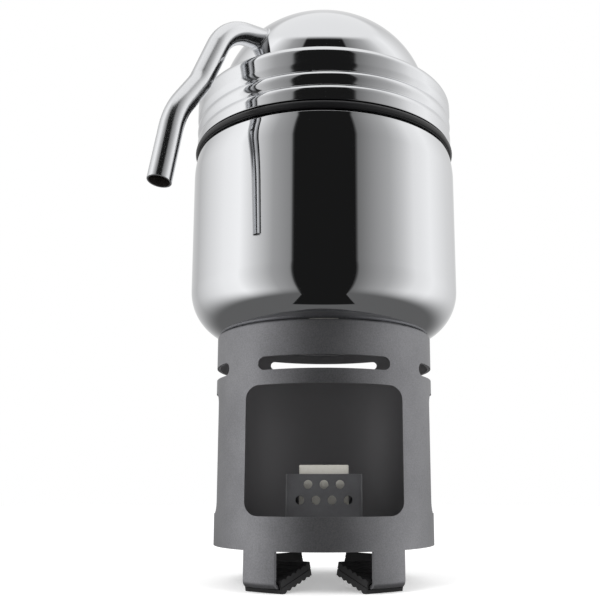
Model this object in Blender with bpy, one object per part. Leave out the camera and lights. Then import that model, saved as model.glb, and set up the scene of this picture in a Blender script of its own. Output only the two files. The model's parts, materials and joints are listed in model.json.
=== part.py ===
"""A small coffee maker that burns a fuel tablet.

A round stand of anodised sheet carries a polished steel pot. A funnel with the ground coffee hangs
in the pot's neck, and a screw lid with a dome and a bent spout closes it. Metres, +Z up, the window
of the stand towards -Y, and the feet on the table at Z = 0.
"""

import math

import bmesh
import bpy
from mathutils import Matrix, Vector

MM = 0.001
FACETS = 40
MERGE = 1e-7
FIT_GAP = 0.3 * MM

# Stand
STAND_RADIUS = 35 * MM
STAND_WALL = 1.0 * MM
STAND_TOP = 77.6 * MM
STAND_RIM_ROUND = 0.8 * MM
SHELL_BOTTOM = 11.7 * MM
WINDOW_WIDTH = 46.4 * MM
SIDE_WINDOW_WIDTH = 22.8 * MM
WINDOW_BOTTOM = 21.3 * MM
WINDOW_TOP = 59 * MM
WINDOW_CORNER = 4 * MM
SLOT_WIDTH = 39 * MM
SLOT_HEIGHT = 4 * MM
SLOT_MIDDLE = 65.3 * MM
BACK_SLOT_HEIGHT = 3 * MM
BACK_SLOT_MIDDLE = 73.5 * MM

# Legs and feet
LEG_WIDTH = 11 * MM
FRONT_LEG_ANGLE = 32.5
BACK_LEG_ANGLE = 137
LEG_BEND = 2 * MM
FOOT_LENGTH = 15.3 * MM
FOOT_THICKNESS = 4.2 * MM
FOOT_SETBACK = 2.7 * MM
FOOT_RISE = 15.5
FOOT_HEEL_FLAT = 1.8 * MM
FOOT_RIBS = 6
FOOT_RIB_DEPTH = 0.6 * MM
FOOT_RIB_LAND = 0.55
FOOT_END_WALL = 1.6 * MM
FOOT_POCKET_GAP = 0.4 * MM
FOOT_SIDE_WALL = 0.6 * MM
TAB_END_GAP = 1.4 * MM
TAB_RAISE = 0.3 * MM

# Base plate
BASE_LIFT = 4.3 * MM
BASE_WALL = 0.8 * MM
BASE_RIM = 3.6 * MM
BASE_CORNER = 1.2 * MM
AIR_HOLE = 5 * MM
AIR_HOLES = 8
AIR_HOLE_RING = 24.5 * MM
CENTRE_HOLE = 10 * MM

# Fuel holder and tablet
HOLDER_WIDTH = 23.7 * MM
HOLDER_HEIGHT = 17.2 * MM
HOLDER_WALL = 0.8 * MM
HOLDER_SHELF = 5.6 * MM
HOLDER_HOLE = 2.7 * MM
HOLDER_PITCH = 4.95 * MM
HOLDER_TOP_ROW = 3.2 * MM
HOLDER_ROWS = 4.8 * MM
HOLDER_ARCH_WIDTH = 12 * MM
HOLDER_ARCH_HEIGHT = 3 * MM
SHELF_HOLE = 3 * MM
SHELF_PITCH = 5 * MM
HOLDER_TAB = 5 * MM
HOLDER_TAB_WIDTH = 9 * MM
RIVET_SHANK = 1 * MM
RIVET_HEAD = 1.8 * MM
RIVET_HEAD_HEIGHT = 0.9 * MM
RIVET_TAIL_HEIGHT = 0.5 * MM
TABLET_SIDE = 15.6 * MM
TABLET_HEIGHT = 13.4 * MM
TABLET_BEVEL = 0.7 * MM

# Pot
POT_RADIUS = 44 * MM
POT_WALL = 0.8 * MM
POT_HEIGHT = 62.1 * MM
POT_BOTTOM_CORNER = 16 * MM
POT_SHOULDER_ROUND = 1.0 * MM
POT_TAPER_HEIGHT = 8 * MM
POT_TAPER = 0.8 * MM
POT_RECESS_WIDTH = 50 * MM
POT_RECESS_STEP = 2.5 * MM
POT_RECESS_DEPTH = 0.9 * MM
SEAL_HEIGHT = 2.3 * MM
SEAL_INSET = 0.1 * MM

# Screw thread of neck and lid
THREAD_PITCH = 4.4 * MM
THREAD_DEPTH = 0.9 * MM
THREAD_PLAY = 0.4 * MM
THREAD_ROOT = 0.3 * MM
NECK_GAP = 0.5 * MM
THREAD_FOOT = 2.0 * MM
THREAD_CREST = 0.7 * MM
LID_THREAD_TURNS = 2.0
LID_THREAD_START = -180
LID_THREAD_RISE = 2.9 * MM
NECK_THREAD_TURNS = 1.25
NECK_THREAD_LAG = 60
NECK_MARGIN = 0.3 * MM
GROOVE_DEPTH = 0.6 * MM
GROOVE_WIDTH = 2.2 * MM
GROOVE_FLOOR = 0.6 * MM

# Funnel
FUNNEL_WALL = 0.8 * MM
FUNNEL_FLANGE = 11.5 * MM
FUNNEL_DEPTH = 20 * MM
FUNNEL_CONE = 8 * MM
FUNNEL_COLLAR = 5 * MM
STEM_RADIUS = 4 * MM
STEM_WALL = 0.6 * MM
STEM_CLEARANCE = 5 * MM
SIEVE_WALL = 0.6 * MM
SIEVE_HOLE = 2.2 * MM
SIEVE_PITCH = 9 * MM
SIEVE_RINGS = 2

# Lid
LID_INSET = 0.6 * MM
LID_WALL = 0.9 * MM
LID_HEAD = 5.9 * MM
LID_CORNER = 3 * MM
LID_SHOULDER = 7.4 * MM
DOME_RISE = 0.5 * MM
DOME_HEIGHT = 32 * MM
DOME_WALL = 0.8 * MM
DOME_FLANGE = 3.6 * MM
GASKET_LIP = 3.5 * MM

# Spout
SPOUT_RADIUS = 3.45 * MM
SPOUT_WALL = 0.5 * MM
SPOUT_ANGLE = -39
SPOUT_START = (-15.1 * MM, 12.8 * MM)
SPOUT_BENDS = (
    (3.5 * MM, 8.6 * MM, 18 * MM),
    (13.8 * MM, -14.0 * MM, 20 * MM),
    (22.8 * MM, -26.5 * MM, 26 * MM),
)
SPOUT_MOUTH = (27.3 * MM, -48.3 * MM)
SPOUT_STEP = 3.2 * MM
SPOUT_SIDES = 16

# Heights and radii that follow from the sizes above
STAND_INNER = STAND_RADIUS - STAND_WALL
SEAT_SINE = (STAND_INNER - (POT_RADIUS - POT_BOTTOM_CORNER)) / POT_BOTTOM_CORNER
SEAT_COSINE = math.sqrt(1 - SEAT_SINE**2)
POT_BOTTOM = STAND_TOP - POT_BOTTOM_CORNER * (1 - SEAT_COSINE) + FIT_GAP / SEAT_COSINE
POT_SHOULDER = POT_BOTTOM + POT_HEIGHT
SEAL_BOTTOM = POT_SHOULDER + FIT_GAP
LID_BOTTOM = SEAL_BOTTOM + SEAL_HEIGHT + FIT_GAP
LID_THREAD_BOTTOM = LID_BOTTOM + LID_THREAD_RISE
NECK_TOP = LID_THREAD_BOTTOM + LID_THREAD_TURNS * THREAD_PITCH + NECK_MARGIN
LID_TOP = NECK_TOP + LID_HEAD
LID_RADIUS = POT_RADIUS - LID_INSET
LID_INNER = LID_RADIUS - LID_WALL
NECK_RADIUS = LID_INNER - THREAD_DEPTH - NECK_GAP
NECK_INNER = NECK_RADIUS - POT_WALL
BASE_TOP = SHELL_BOTTOM + BASE_LIFT
BASE_RADIUS = STAND_INNER - FIT_GAP
HOLDER_BOTTOM = BASE_TOP + FIT_GAP
SHELF_TOP = HOLDER_BOTTOM + HOLDER_SHELF + HOLDER_WALL
FLANGE_BOTTOM = NECK_TOP + FIT_GAP
FLANGE_TOP = FLANGE_BOTTOM + FUNNEL_WALL
BASKET_RADIUS = NECK_RADIUS - FUNNEL_FLANGE
BASKET_FLOOR = FLANGE_TOP - FUNNEL_DEPTH
COLLAR_INNER = STEM_RADIUS + FIT_GAP
DOME_RADIUS = LID_RADIUS - LID_SHOULDER
DOME_FLANGE_TOP = LID_TOP - LID_WALL - FIT_GAP
LID_SIEVE_TOP = DOME_FLANGE_TOP - DOME_WALL - FIT_GAP
LID_SIEVE_RADIUS = DOME_RADIUS + DOME_FLANGE
NECK_THREAD_BOTTOM = LID_THREAD_BOTTOM - THREAD_PITCH * (1 / 2 - NECK_THREAD_LAG / 360)


def clear_scene():
    for thing in list(bpy.data.objects):
        bpy.data.objects.remove(thing)


def finish(name, colour, roughness, metallic=1.0):
    material = bpy.data.materials.new(name)
    material.use_nodes = True
    shader = material.node_tree.nodes["Principled BSDF"]
    shader.inputs["Base Color"].default_value = (*colour, 1)
    shader.inputs["Roughness"].default_value = roughness
    shader.inputs["Metallic"].default_value = metallic
    return material


def empty(name, parent=None):
    holder = bpy.data.objects.new(name, None)
    bpy.context.scene.collection.objects.link(holder)
    holder.parent = parent
    return holder


def piece(name, bm, material, parent):
    """Turns a bmesh into a named object under its body's empty."""
    mesh = bpy.data.meshes.new(name)
    bmesh.ops.recalc_face_normals(bm, faces=bm.faces)
    bm.to_mesh(mesh)
    bm.free()
    mesh.shade_smooth()
    mesh.set_sharp_from_angle(angle=math.radians(30))
    made = bpy.data.objects.new(name, mesh)
    if material:
        mesh.materials.append(material)
    bpy.context.scene.collection.objects.link(made)
    made.parent = parent
    return made


def helper(name, bm, parent):
    """A shape that only serves a Boolean, so it is left out of the object."""
    made = piece(name, bm, None, parent)
    made.hide_render = True
    made.display_type = "WIRE"
    return made


def combine(target, tool, operation):
    modifier = target.modifiers.new(tool.name, "BOOLEAN")
    modifier.operation = operation
    modifier.solver = "EXACT"
    modifier.object = tool


def cut(target, *tools):
    for tool in tools:
        combine(target, tool, "DIFFERENCE")


def arc(middle, radius, start, end, steps):
    """Points on an arc in a plane, with its angles in degrees."""
    for step in range(steps + 1):
        angle = math.radians(start + (end - start) * step / steps)
        yield (middle[0] + radius * math.cos(angle), middle[1] + radius * math.sin(angle))


def turned(outline, closed=True, facets=FACETS):
    """A solid of revolution about Z, from (radius, height) points of its outline."""
    bm = bmesh.new()
    points = [bm.verts.new((radius, 0, height)) for radius, height in outline]
    ends = points[1:] + points[:1] if closed else points[1:]
    edges = [bm.edges.new(pair) for pair in zip(points, ends)]
    bmesh.ops.spin(
        bm,
        geom=points + edges,
        axis=(0, 0, 1),
        angle=math.tau,
        steps=facets,
        use_merge=True,
    )
    bmesh.ops.remove_doubles(bm, verts=bm.verts, dist=MERGE)
    return bm


def extruded(outline, start, end):
    """A prism along Y from (x, z) points of its outline."""
    bm = bmesh.new()
    face = bm.faces.new([bm.verts.new((x, start, z)) for x, z in outline])
    grown = bmesh.ops.extrude_face_region(bm, geom=[face])
    moved = [item for item in grown["geom"] if isinstance(item, bmesh.types.BMVert)]
    bmesh.ops.translate(bm, verts=moved, vec=(0, end - start, 0))
    return bm


def rounded_rectangle(width, bottom, top, corner, steps=4):
    """Outline of an opening that is centred on the axis."""
    side = width / 2 - corner
    points = []
    points += arc((side, bottom + corner), corner, -90, 0, steps)
    points += arc((side, top - corner), corner, 0, 90, steps)
    points += arc((-side, top - corner), corner, 90, 180, steps)
    points += arc((-side, bottom + corner), corner, 180, 270, steps)
    return points


def slot_outline(width, middle, height, steps=6):
    """Outline of a slot with round ends that is centred on the axis."""
    reach = (width - height) / 2
    points = []
    points += arc((reach, middle), height / 2, -90, 90, steps)
    points += arc((-reach, middle), height / 2, 90, 270, steps)
    return points


def turn(bm, degrees, axis="Z"):
    bmesh.ops.rotate(bm, verts=bm.verts, matrix=Matrix.Rotation(math.radians(degrees), 3, axis))
    return bm


def box(low, high):
    bm = bmesh.new()
    bmesh.ops.create_cube(bm, size=1)
    size = [b - a for a, b in zip(low, high)]
    middle = [(a + b) / 2 for a, b in zip(low, high)]
    bmesh.ops.scale(bm, verts=bm.verts, vec=size)
    bmesh.ops.translate(bm, verts=bm.verts, vec=middle)
    return bm


def add_pin(bm, middle, radius, length, axis="Z", sides=8):
    """Adds a round pin, for a hole or a shank, to a mesh."""
    made = bmesh.ops.create_cone(
        bm, cap_ends=True, segments=sides, radius1=radius, radius2=radius, depth=length
    )["verts"]
    if axis == "Y":
        bmesh.ops.rotate(bm, verts=made, matrix=Matrix.Rotation(math.radians(90), 3, "X"))
    if axis == "X":
        bmesh.ops.rotate(bm, verts=made, matrix=Matrix.Rotation(math.radians(90), 3, "Y"))
    bmesh.ops.translate(bm, verts=made, vec=middle)


def leg_angles():
    return {
        "front_right": FRONT_LEG_ANGLE,
        "back_right": BACK_LEG_ANGLE,
        "back_left": 360 - BACK_LEG_ANGLE,
        "front_left": 360 - FRONT_LEG_ANGLE,
    }


def foot_middle_at_heel():
    """Height of the sleeve's middle plane where its heel is."""
    rise = math.radians(FOOT_RISE)
    return FOOT_THICKNESS / 2 / math.cos(rise) - FOOT_HEEL_FLAT * math.tan(rise)


def leg_bend_height():
    """Height of the middle of the bend at the foot of each leg."""
    rise = math.radians(FOOT_RISE)
    mid_radius = LEG_BEND - STAND_WALL / 2
    bend_end = STAND_RADIUS - LEG_BEND - mid_radius * math.sin(rise)
    tab_at_heel = foot_middle_at_heel() + TAB_RAISE
    tab_at_bend = tab_at_heel + (STAND_RADIUS - FOOT_SETBACK - bend_end) * math.tan(rise)
    return tab_at_bend + mid_radius * math.cos(rise)


def gap_cutter(first, second):
    """Wedge that clears the wall between two legs, up to the shell's lower edge."""
    half = LEG_WIDTH / 2
    lines = []
    for angle, side in ((first, 1), (second, -1)):
        heading = math.radians(angle - 90)
        along = Vector((math.cos(heading), math.sin(heading)))
        across = Vector((-along.y, along.x)) * side
        lines.append((across * half, along))
    (start_a, along_a), (start_b, along_b) = lines
    turn_between = math.radians(second - first)
    reach = half * (1 + math.cos(turn_between)) / math.sin(turn_between)
    corner = start_a + along_a * reach
    far = 4 * STAND_RADIUS
    outline = [corner, start_a + along_a * far, start_b + along_b * far]
    bm = bmesh.new()
    face = bm.faces.new([bm.verts.new((point.x, point.y, -STAND_RADIUS)) for point in outline])
    grown = bmesh.ops.extrude_face_region(bm, geom=[face])
    moved = [item for item in grown["geom"] if isinstance(item, bmesh.types.BMVert)]
    bmesh.ops.translate(bm, verts=moved, vec=(0, 0, STAND_RADIUS + SHELL_BOTTOM))
    return bm


def make_stand_shell(stand, material):
    """One turned sheet part: wall, leg bends and inward tabs, then cut open."""
    rise = math.radians(FOOT_RISE)
    bend_z = leg_bend_height()
    bend_r = STAND_RADIUS - LEG_BEND
    tab_end = STAND_RADIUS - FOOT_SETBACK - FOOT_LENGTH * math.cos(rise)
    tab_end += (FOOT_END_WALL + TAB_END_GAP) * math.cos(rise)
    inner_bend = LEG_BEND - STAND_WALL
    rim = STAND_RIM_ROUND
    outline = []
    outline += arc((STAND_RADIUS - rim, STAND_TOP - rim), rim, 90, 0, 3)
    outline += arc((bend_r, bend_z), LEG_BEND, 0, -90 - FOOT_RISE, 5)
    under_tip = bend_z - LEG_BEND * math.cos(rise)
    under_tip += (bend_r - LEG_BEND * math.sin(rise) - tab_end) * math.tan(rise)
    over_tip = bend_z - inner_bend * math.cos(rise)
    over_tip += (bend_r - inner_bend * math.sin(rise) - tab_end) * math.tan(rise)
    outline += [(tab_end, under_tip), (tab_end, over_tip)]
    outline += arc((bend_r, bend_z), inner_bend, -90 - FOOT_RISE, 0, 4)
    outline += [(STAND_INNER, STAND_TOP)]
    shell = piece("stand_shell", turned(outline), material, stand)
    far = 2 * STAND_RADIUS
    window = rounded_rectangle(WINDOW_WIDTH, WINDOW_BOTTOM, WINDOW_TOP, WINDOW_CORNER)
    side = rounded_rectangle(SIDE_WINDOW_WIDTH, WINDOW_BOTTOM, WINDOW_TOP, WINDOW_CORNER)
    slot = slot_outline(SLOT_WIDTH, SLOT_MIDDLE, SLOT_HEIGHT)
    back_slot = slot_outline(SLOT_WIDTH, BACK_SLOT_MIDDLE, BACK_SLOT_HEIGHT)
    cut(
        shell,
        helper("window_cutter", extruded(window, -far, 0), stand),
        helper("side_window_cutter", turn(extruded(side, -far, far), 90), stand),
        helper("slot_cutter", extruded(slot, -far, 0), stand),
        helper("side_slot_cutter", turn(extruded(slot, -far, far), 90), stand),
        helper("back_slot_cutter", extruded(back_slot, 0, far), stand),
    )
    angles = sorted(leg_angles().values())
    for first, second in zip(angles, angles[1:] + [angles[0] + 360]):
        cut(shell, helper(f"gap_cutter_{first}", gap_cutter(first, second), stand))


def foot_outline():
    """Side view of a foot along its length from the heel, with its middle plane on zero."""
    half = FOOT_THICKNESS / 2
    pitch = FOOT_LENGTH / FOOT_RIBS
    land = pitch * FOOT_RIB_LAND
    top = [(0, half)]
    for groove in range(1, FOOT_RIBS):
        middle = groove * pitch
        top += [
            (middle - (pitch - land) / 2, half),
            (middle, half - FOOT_RIB_DEPTH),
            (middle + (pitch - land) / 2, half),
        ]
    top += [(FOOT_LENGTH, half)]
    return top + [(x, -z) for x, z in reversed(top)]


def make_feet(stand, material):
    """Four ribbed rubber sleeves, each pushed over a tab and flat under its heel."""
    heel = STAND_RADIUS - FOOT_SETBACK
    middle = foot_middle_at_heel()
    half_width = LEG_WIDTH / 2 + FOOT_POCKET_GAP + FOOT_SIDE_WALL
    pocket_half = LEG_WIDTH / 2 + FOOT_POCKET_GAP
    pocket_height = STAND_WALL / 2 + FOOT_POCKET_GAP
    for name, angle in leg_angles().items():
        bm = turn(extruded(foot_outline(), -half_width, half_width), 90)
        turn(bm, FOOT_RISE, "X")
        bmesh.ops.translate(bm, verts=bm.verts, vec=(0, -heel, middle))
        cutting = bmesh.ops.bisect_plane(
            bm,
            geom=bm.verts[:] + bm.edges[:] + bm.faces[:],
            plane_co=(0, 0, 0),
            plane_no=(0, 0, -1),
            clear_outer=True,
        )
        edges = [item for item in cutting["geom_cut"] if isinstance(item, bmesh.types.BMEdge)]
        bmesh.ops.contextual_create(bm, geom=edges)
        foot = piece(f"foot_{name}", turn(bm, angle), material, stand)
        pocket = box(
            (-pocket_half, -FOOT_LENGTH, -pocket_height),
            (pocket_half, FOOT_LENGTH - FOOT_END_WALL, pocket_height),
        )
        turn(pocket, FOOT_RISE, "X")
        bmesh.ops.translate(pocket, verts=pocket.verts, vec=(0, -heel, middle + TAB_RAISE))
        cut(foot, helper(f"pocket_cutter_{name}", turn(pocket, angle), stand))


def make_base_plate(stand, material):
    """A dished disc pressed into the shell, with a ring of air holes."""
    inner_round = BASE_CORNER - BASE_WALL
    outline = [(0, BASE_TOP)]
    outline += arc((BASE_RADIUS - BASE_CORNER, BASE_TOP - BASE_CORNER), BASE_CORNER, 90, 0, 3)
    outline += [(BASE_RADIUS, BASE_TOP - BASE_RIM), (BASE_RADIUS - BASE_WALL, BASE_TOP - BASE_RIM)]
    outline += arc((BASE_RADIUS - BASE_CORNER, BASE_TOP - BASE_CORNER), inner_round, 0, 90, 2)
    outline += [(0, BASE_TOP - BASE_WALL)]
    plate = piece("base_plate", turned(outline, closed=False), material, stand)
    holes = bmesh.new()
    add_pin(holes, (0, 0, BASE_TOP), CENTRE_HOLE / 2, 4 * BASE_WALL)
    for hole in range(AIR_HOLES):
        angle = math.tau * (hole + 0.5) / AIR_HOLES
        place = (AIR_HOLE_RING * math.cos(angle), AIR_HOLE_RING * math.sin(angle), BASE_TOP)
        add_pin(holes, place, AIR_HOLE / 2, 4 * BASE_WALL)
    for side in (-1, 1):
        place = (side * rivet_place(), 0, BASE_TOP)
        add_pin(holes, place, RIVET_SHANK + FIT_GAP, 4 * BASE_WALL)
    cut(plate, helper("air_hole_cutter", holes, stand))


def rivet_place():
    return (HOLDER_WIDTH + HOLDER_TAB) / 2


def make_fuel_holder(stand, material):
    """A folded box open at the top, with a shelf for the tablet and two riveted tabs."""
    half = HOLDER_WIDTH / 2
    inner = half - HOLDER_WALL
    top = HOLDER_BOTTOM + HOLDER_HEIGHT
    long = HOLDER_WIDTH * 2
    body = box((-half, -half, HOLDER_BOTTOM), (half, half, top))
    holder = piece("fuel_holder", body, material, stand)
    tab_reach = half + HOLDER_TAB
    tabs = box(
        (-tab_reach, -HOLDER_TAB_WIDTH / 2, HOLDER_BOTTOM),
        (tab_reach, HOLDER_TAB_WIDTH / 2, HOLDER_BOTTOM + HOLDER_WALL),
    )
    combine(holder, helper("holder_tabs", tabs, stand), "UNION")
    under = box((-inner, -inner, 0), (inner, inner, SHELF_TOP - HOLDER_WALL))
    over = box((-inner, -inner, SHELF_TOP), (inner, inner, 2 * top))
    arch = box(
        (-HOLDER_ARCH_WIDTH / 2, -long, 0),
        (HOLDER_ARCH_WIDTH / 2, long, HOLDER_BOTTOM + HOLDER_ARCH_HEIGHT),
    )
    cut(
        holder,
        helper("holder_under_cutter", under, stand),
        helper("holder_over_cutter", over, stand),
        helper("holder_arch_cutter", arch, stand),
    )
    for axis, turned_by in (("Y", 0), ("X", 90)):
        holes = bmesh.new()
        for row, count in ((0, 3), (1, 4)):
            height = top - HOLDER_TOP_ROW - row * HOLDER_ROWS
            for place in range(count):
                across = (place - (count - 1) / 2) * HOLDER_PITCH
                middle = (across, 0, height) if axis == "Y" else (0, across, height)
                add_pin(holes, middle, HOLDER_HOLE / 2, long, axis)
        cut(holder, helper(f"holder_hole_cutter_{turned_by}", holes, stand))
    holes = bmesh.new()
    for x in (-1, 0, 1):
        for y in (-1, 0, 1):
            place = (x * SHELF_PITCH, y * SHELF_PITCH, SHELF_TOP)
            add_pin(holes, place, SHELF_HOLE / 2, 3 * HOLDER_WALL)
    for side in (-1, 1):
        place = (side * rivet_place(), 0, HOLDER_BOTTOM)
        add_pin(holes, place, RIVET_SHANK + FIT_GAP, 3 * HOLDER_WALL)
    cut(holder, helper("shelf_hole_cutter", holes, stand))


def make_rivets(stand, material):
    """Two rivets that hold the fuel box's tabs on the base plate."""
    upper = HOLDER_BOTTOM + HOLDER_WALL + FIT_GAP
    lower = BASE_TOP - BASE_WALL - FIT_GAP
    top = upper + RIVET_HEAD_HEIGHT
    crown = (RIVET_HEAD**2 + RIVET_HEAD_HEIGHT**2) / (2 * RIVET_HEAD_HEIGHT)
    edge = math.degrees(math.acos(RIVET_HEAD / crown))
    outline = [(0, top)]
    outline += list(arc((0, top - crown), crown, 90, edge, 3))[1:]
    outline += [(RIVET_SHANK, upper), (RIVET_SHANK, lower), (RIVET_HEAD, lower)]
    outline += [(RIVET_HEAD, lower - RIVET_TAIL_HEIGHT), (0, lower - RIVET_TAIL_HEIGHT)]
    for name, side in (("left", -1), ("right", 1)):
        rivet = piece(f"holder_rivet_{name}", turned(outline, closed=False, facets=12), material, stand)
        rivet.location.x = side * rivet_place()


def make_tablet(body, material):
    half = TABLET_SIDE / 2
    bottom = SHELF_TOP + FIT_GAP
    bm = box((-half, -half, bottom), (half, half, bottom + TABLET_HEIGHT))
    bmesh.ops.bevel(
        bm, geom=bm.edges[:], offset=TABLET_BEVEL, segments=2, profile=0.5, affect="EDGES", material=-1
    )
    piece("fuel_tablet", bm, material, body)


def screw_bar(name, foot_radius, crest_radius, bottom, start, turns, foot, crest, body):
    """A helical bar round Z, wide at its foot and narrow at its crest, for a thread or a groove."""
    bm = bmesh.new()
    profile = [
        (foot_radius, -foot / 2),
        (crest_radius, -crest / 2),
        (crest_radius, crest / 2),
        (foot_radius, foot / 2),
    ]
    face = bm.faces.new([bm.verts.new((radius, 0, bottom + height)) for radius, height in profile])
    steps = round(FACETS * turns)
    bmesh.ops.spin(
        bm,
        geom=[face],
        axis=(0, 0, 1),
        dvec=(0, 0, THREAD_PITCH / FACETS),
        angle=math.tau * steps / FACETS,
        steps=steps,
    )
    return helper(name, turn(bm, start - 90 + 180 / FACETS), body)


def make_pot(body, material):
    """Drawn steel cup that narrows under its shoulder, with a recess in its base and a threaded neck."""
    radius = POT_RADIUS
    flat = radius - POT_BOTTOM_CORNER
    corner_z = POT_BOTTOM + POT_BOTTOM_CORNER
    wall = POT_WALL
    recess = POT_RECESS_WIDTH / 2
    floor = POT_BOTTOM + POT_RECESS_DEPTH
    round_r = radius - POT_TAPER - POT_SHOULDER_ROUND
    round_z = POT_SHOULDER - POT_SHOULDER_ROUND
    outline = [(0, floor), (recess - POT_RECESS_STEP, floor), (recess, POT_BOTTOM)]
    outline += arc((flat, corner_z), POT_BOTTOM_CORNER, -90, 0, 6)
    outline += [(radius, POT_SHOULDER - POT_TAPER_HEIGHT)]
    outline += [(radius - POT_TAPER / 4, POT_SHOULDER - POT_TAPER_HEIGHT / 2)]
    outline += arc((round_r, round_z), POT_SHOULDER_ROUND, 0, 90, 2)
    outline += [(NECK_RADIUS, POT_SHOULDER), (NECK_RADIUS, NECK_TOP), (NECK_INNER, NECK_TOP)]
    outline += [(NECK_INNER, POT_SHOULDER - wall), (round_r, POT_SHOULDER - wall)]
    outline += [(radius - wall, POT_SHOULDER - POT_TAPER_HEIGHT)]
    outline += arc((flat, corner_z), POT_BOTTOM_CORNER - wall, 0, -90, 5)
    outline += [(recess, POT_BOTTOM + wall), (recess - POT_RECESS_STEP, floor + wall), (0, floor + wall)]
    pot = piece("pot", turned(outline, closed=False), material, body)
    crest_radius = LID_INNER - THREAD_PLAY
    thread = screw_bar(
        "neck_thread",
        NECK_RADIUS - THREAD_ROOT,
        crest_radius,
        NECK_THREAD_BOTTOM,
        LID_THREAD_START + NECK_THREAD_LAG,
        NECK_THREAD_TURNS,
        THREAD_FOOT,
        THREAD_CREST,
        body,
    )
    combine(pot, thread, "UNION")


def make_seal_ring(body, material):
    """Black ring that lies on the pot's shoulder and stands out a little under the lid's edge."""
    inner = NECK_RADIUS + FIT_GAP
    outer = POT_RADIUS - SEAL_INSET
    top = SEAL_BOTTOM + SEAL_HEIGHT
    middle = (SEAL_BOTTOM + top) / 2
    side = SEAL_HEIGHT / 2
    outline = [(inner, SEAL_BOTTOM)]
    outline += arc((outer - side, middle), side, -90, 90, 4)
    outline += [(inner, top)]
    piece("seal_ring", turned(outline), material, body)


def make_funnel(body, steel):
    """Flanged basket, the stem that draws up the water, and the sieve under the coffee."""
    wall = FUNNEL_WALL
    inner = BASKET_RADIUS - wall
    cone_bottom = BASKET_FLOOR - FUNNEL_CONE
    collar_bottom = cone_bottom - FUNNEL_COLLAR
    collar_outer = COLLAR_INNER + wall
    outline = [
        (NECK_RADIUS - FIT_GAP, FLANGE_TOP),
        (inner, FLANGE_TOP),
        (inner, BASKET_FLOOR),
        (COLLAR_INNER, cone_bottom),
        (COLLAR_INNER, collar_bottom),
        (collar_outer, collar_bottom),
        (collar_outer, cone_bottom - wall / 2),
        (BASKET_RADIUS, BASKET_FLOOR - wall / 2),
        (BASKET_RADIUS, FLANGE_BOTTOM),
        (NECK_RADIUS - FIT_GAP, FLANGE_BOTTOM),
    ]
    piece("funnel_basket", turned(outline), steel, body)
    stem_bottom = POT_BOTTOM + POT_RECESS_DEPTH + POT_WALL + STEM_CLEARANCE
    stem = [
        (STEM_RADIUS, cone_bottom),
        (STEM_RADIUS, stem_bottom),
        (STEM_RADIUS - STEM_WALL, stem_bottom),
        (STEM_RADIUS - STEM_WALL, cone_bottom),
    ]
    piece("funnel_stem", turned(stem, facets=24), steel, body)
    bottom = BASKET_FLOOR + FIT_GAP
    make_sieve("funnel_sieve", inner - FIT_GAP, bottom, steel, body)


def make_sieve(name, radius, bottom, material, body):
    """Thin disc with rings of holes."""
    top = bottom + SIEVE_WALL
    outline = [(0, top), (radius, top), (radius, bottom), (0, bottom)]
    sieve = piece(name, turned(outline, closed=False), material, body)
    holes = bmesh.new()
    add_pin(holes, (0, 0, bottom), SIEVE_HOLE / 2, 4 * SIEVE_WALL, sides=6)
    for ring in range(1, SIEVE_RINGS + 1):
        for hole in range(6 * ring):
            angle = math.tau * hole / (6 * ring)
            reach = ring * SIEVE_PITCH
            place = (reach * math.cos(angle), reach * math.sin(angle), bottom)
            add_pin(holes, place, SIEVE_HOLE / 2, 4 * SIEVE_WALL, sides=6)
    cut(sieve, helper(f"{name}_cutter", holes, body))


def make_lid_insert(body, rubber, steel):
    """Gasket in the lid that presses on the funnel's flange and holds the upper sieve."""
    bottom = LID_SIEVE_TOP - SIEVE_WALL
    make_sieve("lid_sieve", LID_SIEVE_RADIUS, bottom, steel, body)
    outer = LID_INNER - FIT_GAP
    waist = LID_SIEVE_RADIUS + FIT_GAP
    lip_top = bottom - FIT_GAP
    outline = [
        (waist, DOME_FLANGE_TOP),
        (waist, lip_top),
        (LID_SIEVE_RADIUS - GASKET_LIP, lip_top),
        (LID_SIEVE_RADIUS - GASKET_LIP, FLANGE_TOP + FIT_GAP),
        (outer, FLANGE_TOP + FIT_GAP),
        (outer, DOME_FLANGE_TOP - LID_CORNER / 2),
        (outer - LID_CORNER / 2, DOME_FLANGE_TOP),
    ]
    piece("lid_gasket", turned(outline), rubber, body)


def make_lid_band(body, material):
    """Skirt and shoulder of the lid, with the thread rolled into the skirt from outside."""
    corner = (LID_RADIUS - LID_CORNER, LID_TOP - LID_CORNER)
    hole = DOME_RADIUS + FIT_GAP
    outline = [(LID_RADIUS, LID_BOTTOM)]
    outline += arc(corner, LID_CORNER, 0, 90, 4)
    outline += [(hole, LID_TOP), (hole, LID_TOP - LID_WALL)]
    outline += arc(corner, LID_CORNER - LID_WALL, 90, 0, 3)
    outline += [(LID_INNER, LID_BOTTOM)]
    band = piece("lid_band", turned(outline), material, body)
    thread = screw_bar(
        "lid_thread",
        LID_INNER + THREAD_ROOT,
        LID_INNER - THREAD_DEPTH,
        LID_THREAD_BOTTOM,
        LID_THREAD_START,
        LID_THREAD_TURNS,
        THREAD_FOOT,
        THREAD_CREST,
        body,
    )
    groove = screw_bar(
        "lid_groove",
        LID_RADIUS + GROOVE_DEPTH,
        LID_RADIUS - GROOVE_DEPTH,
        LID_THREAD_BOTTOM,
        LID_THREAD_START,
        LID_THREAD_TURNS,
        2 * GROOVE_WIDTH - GROOVE_FLOOR,
        GROOVE_FLOOR,
        body,
    )
    combine(band, thread, "UNION")
    cut(band, groove)


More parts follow.
